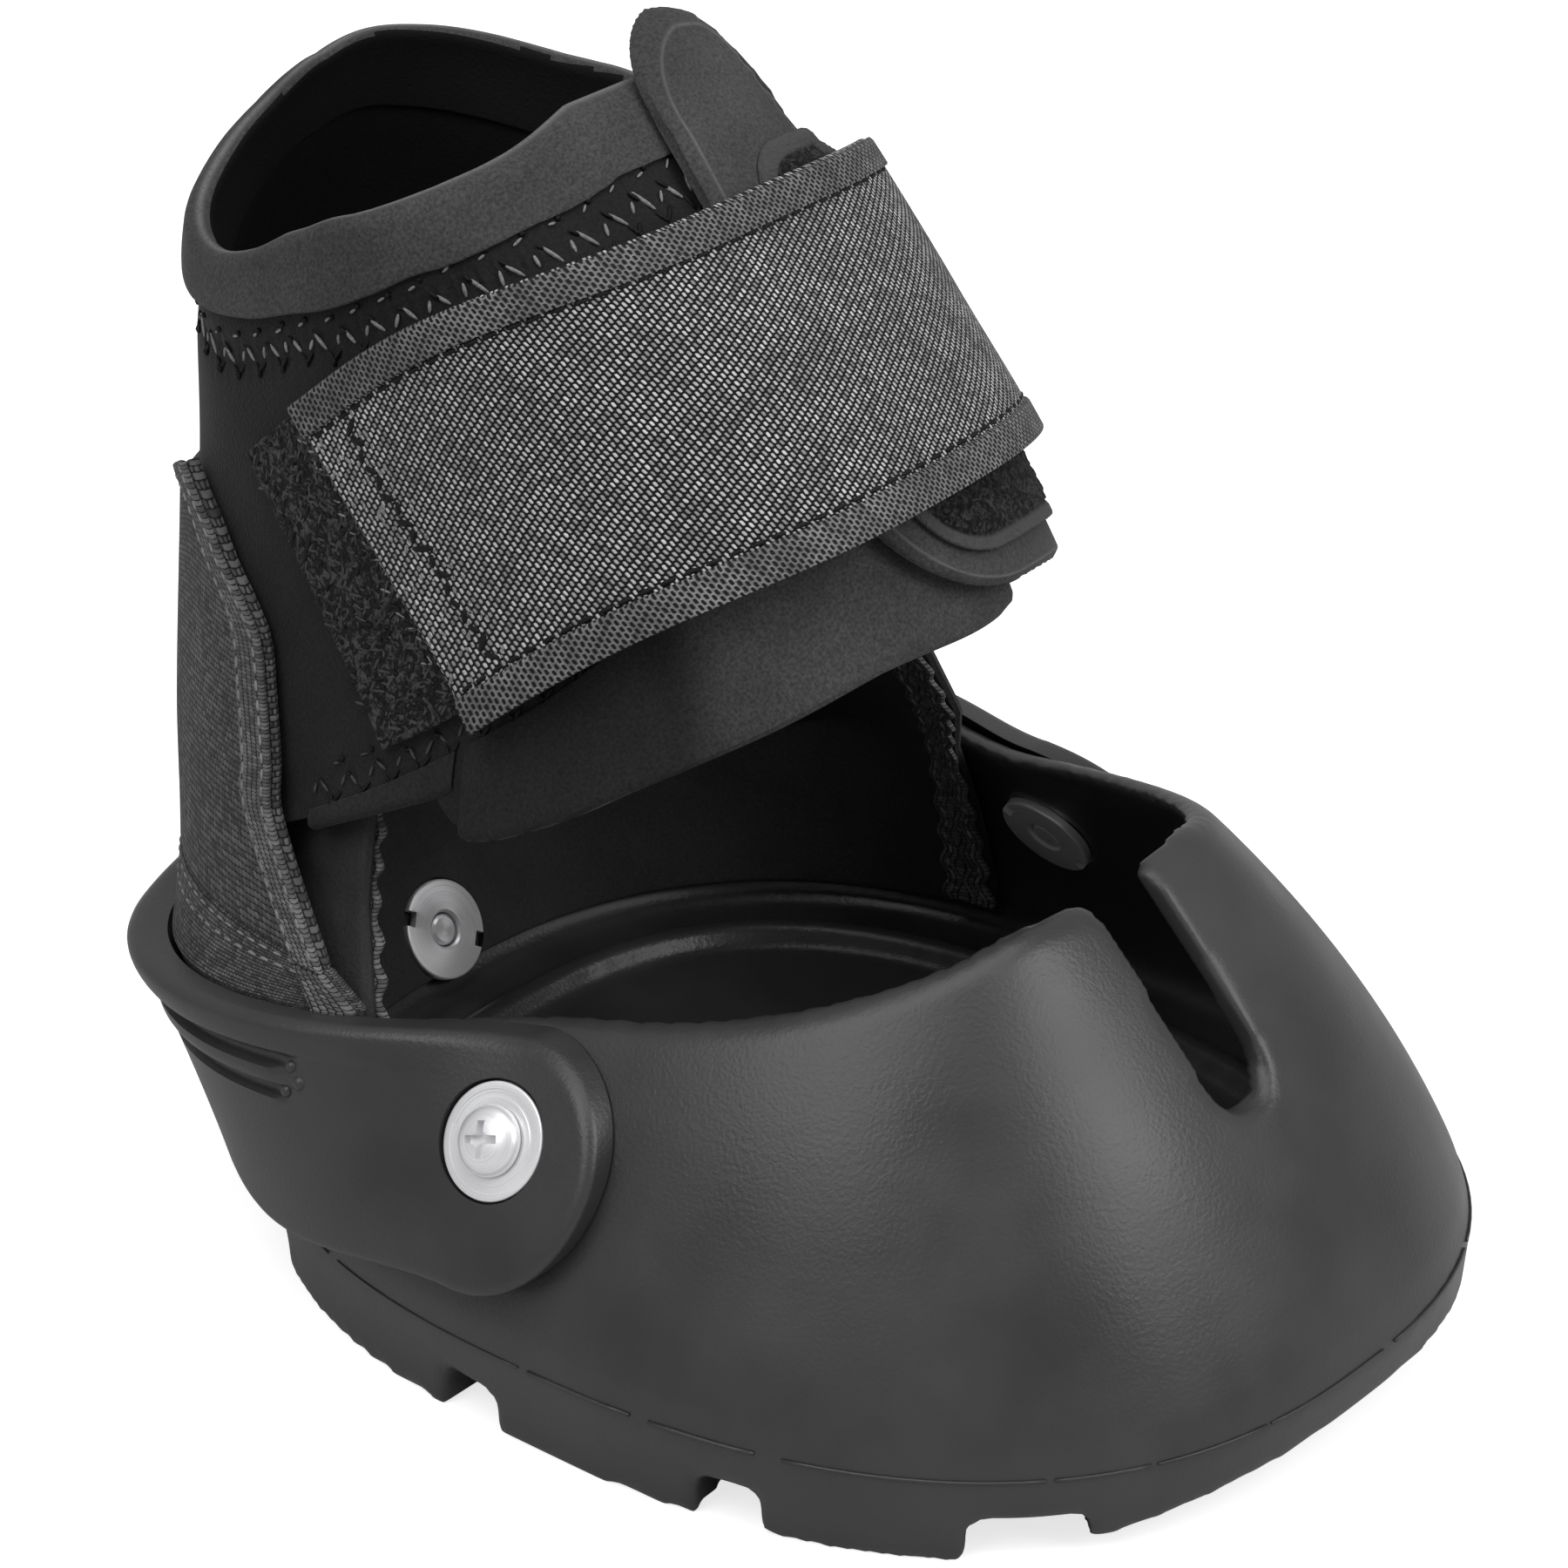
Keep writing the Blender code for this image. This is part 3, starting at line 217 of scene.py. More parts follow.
TOP_BAND_DROPS = ((18, 0.0064), (36, 0.0059), (43, 0.0061), (58, 0.0069), (67, 0.0071),
                  (78, 0.0083), (86, 0.0091), (101, 0.0087), (113, 0.0076), (123, 0.0070),
                  (180, 0.0080))
TOP_ROW_DROPS = ((12, 0.0093), (30, 0.0090), (40, 0.0089), (48, 0.0093), (58, 0.0095), (67, 0.0105),
                 (78, 0.0116), (88, 0.0127), (109, 0.0125), (121, 0.0130), (180, 0.0130))
FOOT_ROW_RISES = ((13, 0.0168), (52, 0.0130), (70, 0.0090), (90, 0.0056), (104, 0.0045))
ROW_PITCH = 0.0053
ROW_MARGIN = 0.0020
ROW_DRAWN_IN = 0.0005
ROW_PUCKER = 0.0002
ROW_HALF = 0.0026
CUFF_WAVES = 0.0006
BAND_FLARE = 0.0012
BAND_FLARE_REACH = 0.0040
BAND_INSIDE = 0.0090
BAND_END_INSIDE = 0.0050
BAND_THICKNESS = 0.0006
BAND_GAP = 0.0001
EDGE_CORE = 0.0018
CORE_REACH = 0.0120
HEM_RADIUS = EDGE_CORE/2 + BAND_GAP
HEM_RISE = HEM_RADIUS + BAND_THICKNESS

# One repeat of the zigzag seam: both ends of each stitch along and across the row, and its radius
LIGHT_STITCHES = (((-0.0008, 0.00095), (0.0009, -0.0009), 0.00028),
                  ((-0.00235, -0.00065), (-0.0018, 0.00055), 0.00026),
                  ((0.00155, 0.0022), (0.0028, 0.0024), 0.00021))
# The first two dark stitches are dark thread; the next two are painted shade in the needle holes, and the
# last is painted shadow beside the first light stitch.
DARK_THREAD_AND_PAINTED_SHADE = (((0.0009, -0.0009), (0.0018, -0.0022), 0.00030),
                 ((0.0018, -0.0022), (0.0033, -0.0011), 0.00030),
                 ((0.0013, -0.0023), (0.0023, -0.0023), 0.00055),
                 ((0.0029, 0.0027), (0.0037, 0.0027), 0.00040),
                 ((-0.0014, 0.0013), (-0.0004, 0.0004), 0.00030))
STITCH_SCATTER = 0.00014
STITCH_FLATNESS = 0.7

# Back panel, heel panel and lining
PANEL_TOP = 0.0920
PANEL_TOP_BACK = 0.0840
PANEL_DIP = (28.0, 52.0)
PANEL_HALF_ANGLE = 84.0
PANEL_EDGES = ((0.0, 1.0), (0.28, 0.87), (0.40, 0.86), (0.56, 0.84), (0.69, 0.82), (0.76, 0.78),
               (0.82, 0.73), (0.89, 0.68), (0.96, 0.60), (1.0, 0.56))
PANEL_TAPE = 0.0046
HEEL_PANEL_LENGTH = 0.150
HEEL_PANEL_HALF_ANGLE = 64.0
HEEL_PANEL_TUCK = 0.0055
LINING_FOOT = 0.0128
LINING_TOP = 0.0600
LINING_RIGHT_ANGLE = 62.0
LINING_LEFT_ANGLE = 74.0
LINING_TOP_RIGHT_ANGLE = 82.0
LINING_TOP_LEFT_ANGLE = 108.0
LINING_GAP = 0.0012
LINING_TAPE = 0.0055
LINING_LENGTH = 0.120

# Closing tab, loop patch and strap
STRAP_ANGLE = 42.0
TAB_FOOT_LEVEL = 0.0575
TAB_TOP_LEVEL = 0.1362
TAB_TOP_FALLS = ((12, 0.0), (20, 0.0004), (26, 0.0014), (29, 0.0035), (31, 0.0066), (33, 0.0174),
                 (35, 0.0192), (40, 0.0213), (45, 0.0237), (50, 0.0258), (62, 0.0292))
TAB_FREE_FOOT_ANGLE = -12.5
TAB_FREE_TOP_ANGLE = 0.5
TAB_SEWN_ANGLE = 62.0
TAB_FOOT_CORNER = 0.0200
TAB_TOP_CORNER = 0.0140
TAB_CHAMFER = 0.0016
TAB_CHAMFER_DROP = 0.0012
TAB_MEASURE_LEVEL = 0.0850
LOOP_INSET = 0.0055
LOOP_TOP_LEVEL = 0.1172
LOOP_TOP_INSET = 0.0020
LOOP_FOOT_CORNER = 0.0120
LOOP_TOP_CORNER = 0.0085
LOOP_BORDER = 0.0021
STRAP_FOOT_SEWN = 0.0722
STRAP_TOP_SEWN = 0.1150
STRAP_FOOT_FREE = 0.0745
STRAP_TOP_FREE = 0.1146
STRAP_SEWN_FOOT_ANGLE = -75.0
STRAP_SEWN_TOP_ANGLE = -99.0
STRAP_FREE_ANGLE = 44.0
STRAP_TAUT_ANGLE = -14.0
STRAP_BINDING = 0.0040
STRAP_BINDING_THICKNESS = 0.0006
STRAP_BINDING_SINK = 0.0002
STRAP_ROW_INSET = 0.010
HOOK_START_ANGLE = -4.0
HOOK_INSET = 0.0050
ANCHOR_REACH_ANGLE = 16.0
ANCHOR_TUCK_ANGLE = 12.0
SEAM_REACH = 0.0066
SEAM_STITCHES = 18
SEAM_THREADS = 120

# Grain of the materials, with the depth of its bump
RUBBER_GRAIN = 0.0005
RUBBER_BUMP = 0.00002
KNIT_GRAIN = 0.00042
KNIT_BUMP = 0.00006
THREAD_WOBBLE = 0.0003

# Camera, found from the ground line, rim, slot and fasteners of the photograph
VIEW_AZIMUTH = -50.497
VIEW_ELEVATION = 27.661
VIEW_DISTANCE = 0.69982
VIEW_ACROSS = -0.007457
VIEW_UP = 0.0540146
VIEW_LENS = 130.104

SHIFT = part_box("shell")[0][1] + TOE_REACH
seeded = random.Random(11)


def squared_oval(angle, half_width, front, back, squareness):
    """Point at a polar angle of an oval whose corners fill out as squareness rises over 2."""
    s = math.sin(math.radians(angle))
    c = math.cos(math.radians(angle))
    reach = (abs(s)**squareness + abs(c)**squareness)**(-1/squareness)
    return half_width*reach*s, -(front if c > 0 else back)*reach*c


def smooth_table(stations, at):
    """Value at a place between stations, each a place and its value, along a smooth curve."""
    last = len(stations) - 1
    if at <= stations[0][0]:
        return stations[0][1]
    if at >= stations[last][0]:
        return stations[last][1]

    def slope(k):
        low = stations[max(k - 1, 0)]
        high = stations[min(k + 1, last)]
        return (high[1] - low[1])/(high[0] - low[0])

    k = max(i for i in range(last) if stations[i][0] <= at)
    span = stations[k + 1][0] - stations[k][0]
    u = (at - stations[k][0])/span
    return ((2*u**3 - 3*u**2 + 1)*stations[k][1] + (u**3 - 2*u**2 + u)*span*slope(k)
            + (3*u**2 - 2*u**3)*stations[k + 1][1] + (u**3 - u**2)*span*slope(k + 1))


def ease(start, end, at):
    """0 before start, 1 past end, and a smooth rise between them."""
    u = min(max((at - start)/(end - start), 0.0), 1.0)
    return u*u*(3 - 2*u)


def mix(a, b, share):
    return a + (b - a)*share


def folded(angle):
    """The same place on the +X half, for shapes that are alike on both sides."""
    turned = angle % 360
    return min(turned, 360 - turned)


def moved_out(curve, angle, height, out):
    """Point of a level closed curve at an angle, moved out along the curve's own normal."""
    nudge = 0.05
    before = Vector(curve(angle - nudge))
    along = (Vector(curve(angle + nudge)) - before).normalized()
    x, y = curve(angle)
    return Vector((x + along.y*out, y - along.x*out, height))


def crossing(low, high, steps, short_of):
    """Narrow range from low to high in which short_of(at) turns false, found by halving."""
    for _ in range(steps):
        at = (low + high)/2
        if short_of(at):
            low = at
        else:
            high = at
    return low, high


def shell_outline(angle):
    return squared_oval(angle, HALF_WIDTH, TOE_REACH, HEEL_REACH, SQUARENESS)


def wall_point(angle, height, out=0.0):
    """Point of the shell wall's outer face, moved outward by out."""
    rise = height - PARTING_HEIGHT
    heel = ease(HEEL_FLARE_START, HEEL_FLARE_FULL, folded(angle))
    ahead = max(math.cos(math.radians(angle)), 0.0)**1.5
    lean = mix(mix(SIDE_LEAN, TOE_LEAN, ahead), HEEL_LEAN, heel)
    inward = lean*rise + (1 - heel)*rise*abs(rise)/(2*WALL_BOW_RADIUS)
    return moved_out(shell_outline, angle, height, out - inward)


def rim_height(angle):
    return smooth_table(RIM_HEIGHTS, folded(angle))


@lru_cache(maxsize=None)
def gaiter_ring(height):
    """Half width, half length, middle and squareness of the gaiter at a height."""
    back = smooth_table(BACKS, height)
    front = smooth_table(FRONTS, height)
    half_width = smooth_table(HALF_WIDTHS, height)
    return half_width, (back - front)/2, (back + front)/2, smooth_table(SQUARENESSES, height)


def gaiter_outline(angle, height):
    """Point of the level closed curve that the cuff's outer face has at a height."""
    half_width, half_length, middle, squareness = gaiter_ring(height)
    x, y = squared_oval(angle, half_width, half_length, half_length, squareness)
    return x, y + middle


def gaiter_point(angle, height, out=0.0):
    """Point of the cuff's outer face at a height, moved outward by out."""
    return moved_out(lambda at: gaiter_outline(at, height), angle, height, out)


@lru_cache(maxsize=None)
def height_on_plane(angle, lean, level):
    """Height at which the gaiter's face meets a plane that rises toward the toe by lean degrees."""
    s = math.sin(math.radians(lean))
    c = math.cos(math.radians(lean))
    low, high = crossing(0.0, 2*LEVEL_TOP, 22, lambda at: gaiter_outline(angle, at)[1]*s + at*c < level)
    return (low + high)/2


def plain_foot(angle, drop=0.0):
    """The cuff's lower edge, let down by a drop, and never nearer the seam than its clearance."""
    level = height_on_plane(angle, CUFF_FOOT_ANGLE, CUFF_FOOT_LEVEL)
    return max(level - drop, SEAM_HEIGHT + CUFF_FOOT_CLEARANCE)


def cuff_foot(angle):
    """The cuff's lower edge with the drop of the front flap."""
    return plain_foot(angle, smooth_table(CUFF_FOOT_DROPS, (angle + 180) % 360 - 180))


def cuff_top(angle):
    behind = max(-math.cos(math.radians(angle)), 0.0)**1.5
    left = max(-math.sin(math.radians(2*angle)), 0.0) if angle % 360 < 180 else 0.0
    level = CUFF_TOP_LEVEL + CUFF_BACK_RISE*behind + CUFF_LEFT_RISE*left
    return height_on_plane(angle, CUFF_TOP_ANGLE, level) - smooth_table(CUFF_TOP_DROPS, angle % 360)


def top_row(angle):
    """Height of the middle of the stitched row under the cuff's top."""
    return cuff_top(angle) - smooth_table(TOP_ROW_DROPS, folded(angle))


def foot_row(angle):
    """Height of the middle of the stitched row over the cuff's foot."""
    return plain_foot(angle) + smooth_table(FOOT_ROW_RISES, folded(angle))


def cradle_top(angle):
    stations = ((SIDE_BOLT_ANGLE, SIDE_BOLT_HEIGHT + EAR_RISE),) + CRADLE_TOPS
    return smooth_table(stations, folded(angle))


def rolled(distance, radius):
    """How far a rounded edge drops below its face, at a distance from the edge."""
    if distance >= radius:
        return 0.0
    return radius - math.sqrt(radius**2 - (radius - max(distance, 0.0))**2)


def even(share):
    return share


def crowded(share):
    """Share drawn toward 0 and 1, which crowds rows near both edges."""
    return 0.5 - 0.5*math.cos(math.pi*share)


def part_crowded(share):
    return mix(share, crowded(share), 0.75)


def paced(point, steps=40):
    """Length of the curve point(share), and a function that gives the share at a length along it."""
    places = [point(k/steps) for k in range(steps + 1)]
    lengths = [0.0]
    for a, b in zip(places, places[1:]):
        lengths.append(lengths[-1] + (b - a).length)

    def share_at(length):
        k = min(max(bisect(lengths, length), 1), steps)
        return (k - 1 + (length - lengths[k - 1])/(lengths[k] - lengths[k - 1]))/steps

    return lengths[-1], share_at


def reach_along(point):
    """Length of the curve point(share)."""
    return paced(point)[0]


def sheet_size(place, at=0.5):
    """Length of a sheet place(u, v), measured at the share v = at, and its width at its middle."""
    return reach_along(lambda s: place(s, at)), reach_along(lambda s: place(0.5, s))


def to_edge(u, v, long, wide):
    """Distance to the nearest edge of a sheet of that length and width."""
    return min(u*long, (1 - u)*long, v*wide, (1 - v)*wide)


def slab(columns, rows, inner, outer, spread=(even, even), depth=None):
    """Closed curved slab between inner(u, v) and outer(u, v).

    It has a UV map in metres and its distance to the edge as an attribute, and its outer points are tagged.
    """
    long, wide = sheet_size(outer)
    work = bmesh.new()
    cloth = work.loops.layers.uv.new("cloth")
    edge = work.verts.layers.float.new("edge")
    bmesh.ops.create_grid(work, x_segments=columns, y_segments=rows, size=0.5, calc_uvs=True)
    low = list(work.verts)
    raised = bmesh.ops.extrude_face_region(work, geom=list(work.faces))["geom"]
    high = [item for item in raised if isinstance(item, bmesh.types.BMVert)]

    def spread_out(u, v):
        return spread[0](min(max(u, 0.0), 1.0)), spread[1](min(max(v, 0.0), 1.0))

    for face in work.faces:
        for corner in face.loops:
            u, v = spread_out(*corner[cloth].uv)
            corner[cloth].uv = (u*long, v*wide)
    for verts, place in ((low, inner), (high, outer)):
        for vert in verts:
            u, v = spread_out(vert.co.x + 0.5, vert.co.y + 0.5)
            vert[edge] = depth(u, v) if depth else to_edge(u, v, long, wide)
            vert.co = place(u, v)
            vert.tag = verts is high
    return work


def layer(place, base, thickness, columns, rows, relief=None, spread=(part_crowded, crowded)):
    """Layer of cloth lying base over a surface, with rolled edges and a face raised by relief(x, y)."""
    long, wide = sheet_size(lambda u, v: place(u, v, base))

    def drop(u, v):
        return rolled(to_edge(u, v, long, wide), thickness/2)

    def inner(u, v):
        return place(u, v, base + drop(u, v))

    def outer(u, v):
        lift = relief(u*long, v*wide) if relief else 0.0
        return place(u, v, base + thickness - drop(u, v) + lift)

    return slab(columns, rows, inner, outer, spread)


def bead(work, start, end, up, radius):
    """One stitch: a flattened grain of thread from start to end, on a face whose outward way is up."""
    along = end - start
    side = along.cross(up).normalized()
    normal = side.cross(along).normalized()
    turn = Matrix((side*radius, normal*radius*STITCH_FLATNESS, along/2)).transposed().to_4x4()
    grain = bmesh.ops.create_uvsphere(work, u_segments=6, v_segments=5, radius=1.0)["verts"]
    bmesh.ops.transform(work, matrix=Matrix.Translation((start + end)/2) @ turn, verts=grain)


def stitch_row(work, point, pitch, filled, radius, start=0.02, end=0.98, wander=0.1):
    """Row of stitches along point(share, out), one each pitch, each as long as the filled part of it."""
    long, share_at = paced(lambda s: point(mix(start, end, s), 0.0))
    for k in range(max(round(long/pitch), 1)):
        middle = (k + 0.5 + seeded.uniform(-wander, wander))*pitch
        a, b = (mix(start, end, share_at(middle + way*filled*pitch/2)) for way in (-1, 1))
        here = point(a, 0.0)
        bead(work, here, point(b, 0.0), point(a, 0.001) - here, radius)


def stitch_tape(work, tape, shares, level, pitch, filled, radius, way=1, wander=0.1):
    """Rows of stitches along tape(share, across, out), at shares across it, on its face at a level."""
    for across in shares:
        stitch_row(work, lambda share, out: tape(share, across, level + way*out), pitch, filled, radius,
                   wander=wander)


def zigzag_row(light, dark, point, fade=1.0):
    """Zigzag seam along point(share, across, out): light stitches, and dark ones that draw the cloth in,
    among them grains of painted shade at the needle holes and beside a stroke.
    """
    long, share_at = paced(lambda s: point(s, 0.0, 0.0), steps=400)
    for k in range(int(long/ROW_PITCH)):
        middle = (k + 0.5)*ROW_PITCH
        for work, stitches, size in ((light, LIGHT_STITCHES, fade), (dark, DARK_THREAD_AND_PAINTED_SHADE, 1.0)):
            for start, end, radius in stitches:
                places = []
                for along, across in (start, end):
                    at = middle + along + seeded.gauss(0.0, STITCH_SCATTER)
                    share = share_at(min(max(at, 0.0), long))
                    across += seeded.gauss(0.0, STITCH_SCATTER)
                    places.append(point(share, across, 0.0))
                up = point(share, across, 0.001) - places[1]
                bead(work, *places, up, radius*size)


def settle(work):
    """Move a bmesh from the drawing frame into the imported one, with its faces pointing outwards."""
    bmesh.ops.translate(work, verts=work.verts, vec=(0.0, SHIFT, 0.0))
    bmesh.ops.recalc_face_normals(work, faces=work.faces)


def mesh_of(name, work):
    """Mesh of a bmesh, which is let go."""
    mesh = bpy.data.meshes.new(name)
    work.to_mesh(mesh)
    work.free()
    return mesh


def linked(name, data):
    """Object of the scene that holds a mesh, a lamp or a camera."""
    item = bpy.data.objects.new(name, data)
    bpy.context.scene.collection.objects.link(item)
    return item


def add_piece(name, work, material, body, nodes=(), sharp=35.0):
    """Turn a bmesh in the drawing frame into a named piece that moves with a body."""
    settle(work)
    mesh = mesh_of(name, work)
    for look in material if isinstance(material, tuple) else (material,):
        mesh.materials.append(look)
    mesh.shade_smooth()
    mesh.set_sharp_from_angle(angle=math.radians(sharp))
    item = linked(name, mesh)
    if body:
        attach(item, body)
    if nodes:
        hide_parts(*nodes)
    return item


def paint(work, chosen):
    """Give a piece's second material to the faces that chosen(face) picks."""
    for face in work.faces:
        face.material_index = 1 if chosen(face) else 0


def add_threads(name, work, material, body):
    return add_piece(name, work, material, body, sharp=180.0)


def cut_away(item, cutters, sharp=None):
    """Cut solids out of a piece for good, and take the solids away."""
    tools = []
    for work in cutters:
        settle(work)
        tool = linked("cutter", mesh_of("cutter", work))
        tool.hide_render = True
        tool.display_type = 'WIRE'
        tools.append(tool)
        modifier = item.modifiers.new("cut", 'BOOLEAN')
        modifier.operation = 'DIFFERENCE'
        modifier.object = tool
    keep_shape(item)
    for tool in tools:
        mesh = tool.data
        bpy.data.objects.remove(tool)
        bpy.data.meshes.remove(mesh)
    if sharp:
        item.data.set_sharp_from_angle(angle=math.radians(sharp))


def keep_shape(item):
    """Give a piece the mesh that its modifiers make of it."""
    shaped = bpy.data.meshes.new_from_object(item.evaluated_get(bpy.context.evaluated_depsgraph_get()))
    item.modifiers.clear()
    before = item.data
    item.data = shaped
    bpy.data.meshes.remove(before)


# Materials


def new_group(name, inputs, outputs):
    """Shader node group that reads a Vector and named values, with its inputs and its outputs."""
    group = bpy.data.node_groups.new(name, 'ShaderNodeTree')
    group.interface.new_socket("Vector", in_out='INPUT', socket_type='NodeSocketVector')
    for socket, value in inputs.items():
        item = group.interface.new_socket(socket, in_out='INPUT', socket_type='NodeSocketFloat')
        item.default_value = value
    for socket in outputs:
        group.interface.new_socket(socket, in_out='OUTPUT', socket_type='NodeSocketFloat')
    return group, group.nodes.new('NodeGroupInput').outputs, group.nodes.new('NodeGroupOutput').inputs


def feed(tree, value, socket):
    """Link an output socket into an input, or set the input to a plain value."""
    if isinstance(value, bpy.types.NodeSocket):
        tree.links.new(value, socket)
    else:
        socket.default_value = value


def sum_node(tree, operation, *values):
    """Result of a sum on sockets or plain values."""
    node = tree.nodes.new('ShaderNodeMath')
    node.operation = operation
    for k, value in enumerate(values):
        feed(tree, value, node.inputs[k])
    return node.outputs[0]


def times(tree, a, b):
    return sum_node(tree, 'MULTIPLY', a, b)


def ramp_node(tree, value, from_low, from_high, to_low=0.0, to_high=1.0, smooth=False):
    """Value carried from one range to another and kept inside it."""
    node = tree.nodes.new('ShaderNodeMapRange')
    node.interpolation_type = 'SMOOTHSTEP' if smooth else 'LINEAR'
    names = ('Value', 'From Min', 'From Max', 'To Min', 'To Max')
    for name, number in zip(names, (value, from_low, from_high, to_low, to_high)):
        feed(tree, number, node.inputs[name])
    return node.outputs['Result']


def noise_node(tree, vector, scale, detail=2.0, distortion=0.0):
    """Noise at a place, as a value Fac and as a Color."""
    node = tree.nodes.new('ShaderNodeTexNoise')
    tree.links.new(vector, node.inputs['Vector'])
    feed(tree, scale, node.inputs['Scale'])
    node.inputs['Detail'].default_value = detail
    node.inputs['Distortion'].default_value = distortion
    return node.outputs


def mapping_node(tree, vector, name, value):
    """Place with a Rotation or a Scale given to it."""
    node = tree.nodes.new('ShaderNodeMapping')
    node.inputs[name].default_value = value
    tree.links.new(vector, node.inputs['Vector'])
    return node.outputs[0]


def make_weave_group():
    """Rows of oblong thread floats, each row shifted along from the last."""
    group, given, found = new_group(
        "woven floats", {"Float length": 0.001, "Row width": 0.001, "Row shift": 0.5, "Gap": 0.3},
        ("Raised", "Height", "Thread"))
    parts = group.nodes.new('ShaderNodeSeparateXYZ')
    group.links.new(given["Vector"], parts.inputs[0])
    x = sum_node(group, 'DIVIDE', parts.outputs[0], given["Float length"])
    y = sum_node(group, 'DIVIDE', parts.outputs[1], given["Row width"])
    row = sum_node(group, 'FLOOR', y)
    moved = sum_node(group, 'MULTIPLY_ADD', row, given["Row shift"], x)

    def fall(place, power):
        """How a float's height falls off toward its ends or its sides."""
        share = sum_node(group, 'FRACT', place)
        off = sum_node(group, 'ABSOLUTE', sum_node(group, 'MULTIPLY_ADD', share, 2.0, -1.0))
        return sum_node(group, 'SUBTRACT', 1.0, sum_node(group, 'POWER', off, power))

    height = times(group, fall(moved, 3.0), fall(y, 2.0))
    chance = group.nodes.new('ShaderNodeTexWhiteNoise')
    chance.noise_dimensions = '2D'
    cell = group.nodes.new('ShaderNodeCombineXYZ')
    group.links.new(sum_node(group, 'FLOOR', moved), cell.inputs[0])
    group.links.new(row, cell.inputs[1])
    group.links.new(cell.outputs[0], chance.inputs['Vector'])
    over = sum_node(group, 'SUBTRACT', height, given["Gap"])
    group.links.new(ramp_node(group, over, -0.18, 0.18, smooth=True), found["Raised"])
    group.links.new(height, found["Height"])
    group.links.new(chance.outputs['Value'], found["Thread"])
    return group


def make_grain_group():
    """Fine cloth or rubber grain with slow patches over it, both from 0 to 1."""
    group, given, found = new_group(
        "grain and patches", {"Grain size": 0.0004, "Patch size": 0.02}, ("Grain", "Patches"))
    for name, size, detail, spread in (("Grain", "Grain size", 2.0, 0.22),
                                       ("Patches", "Patch size", 3.0, 0.18)):
        scale = sum_node(group, 'DIVIDE', 1.0, given[size])
        level = noise_node(group, given["Vector"], scale, detail)['Fac']
        group.links.new(ramp_node(group, level, 0.5 - spread, 0.5 + spread), found[name])
    return group


WEAVE = make_weave_group()
GRAIN = make_grain_group()


def plain_material(name, roughness, sheen=0.0, metallic=0.0, specular=0.5):
    """Material with its tree and shader, ready for what varies over the surface."""
    material = bpy.data.materials.new(name)
    material.use_nodes = True
    tree = material.node_tree
    shader = tree.nodes["Principled BSDF"]
    shader.inputs["Roughness"].default_value = roughness
    shader.inputs["Metallic"].default_value = metallic
    shader.inputs["Specular IOR Level"].default_value = specular
    shader.inputs["Sheen Weight"].default_value = sheen
    shader.inputs["Sheen Roughness"].default_value = 0.4
    return material, tree, shader


def place_node(tree, kind, name=""):
    """Object coordinates, or a piece's own UV map or attribute of that name."""
    if kind == 'object':
        return tree.nodes.new('ShaderNodeTexCoord').outputs['Object']
    if kind == 'uv':
        node = tree.nodes.new('ShaderNodeUVMap')
        node.uv_map = name
        return node.outputs['UV']
    node = tree.nodes.new('ShaderNodeAttribute')
    node.attribute_name = name
    return node.outputs['Fac']


def group_node(tree, group, vector, **values):
    """Outputs of a group placed in a material with its own values."""
    node = tree.nodes.new('ShaderNodeGroup')
    node.node_tree = group
    tree.links.new(vector, node.inputs["Vector"])
    for name, value in values.items():
        node.inputs[name.replace("_", " ")].default_value = value
    return node.outputs


def grey_link(tree, shader, value):
    """Send a grey level to the base colour, a touch cool."""
    node = tree.nodes.new('ShaderNodeCombineColor')
    for k, level in enumerate((value, value, times(tree, value, 1.02))):
        tree.links.new(level, node.inputs[k])
    tree.links.new(node.outputs[0], shader.inputs["Base Color"])


def bump_link(tree, shader, height, distance):
    node = tree.nodes.new('ShaderNodeBump')
    node.inputs['Distance'].default_value = distance
    tree.links.new(height, node.inputs['Height'])
    tree.links.new(node.outputs[0], shader.inputs["Normal"])


def rubber_material(name, shade, roughness):
    """Moulded rubber with slow patches in its shade and its gloss."""
    material, tree, shader = plain_material(name, roughness)
    found = group_node(tree, GRAIN, place_node(tree, 'object'), Grain_size=RUBBER_GRAIN, Patch_size=0.018)
    patches = found["Patches"]
    grey_link(tree, shader, sum_node(tree, 'MULTIPLY_ADD', patches, shade*0.35, shade*0.82))
    gloss = sum_node(tree, 'MULTIPLY_ADD', patches, 0.12, roughness - 0.06)
    tree.links.new(gloss, shader.inputs["Roughness"])
    bump_link(tree, shader, found["Grain"], RUBBER_BUMP)
    return material


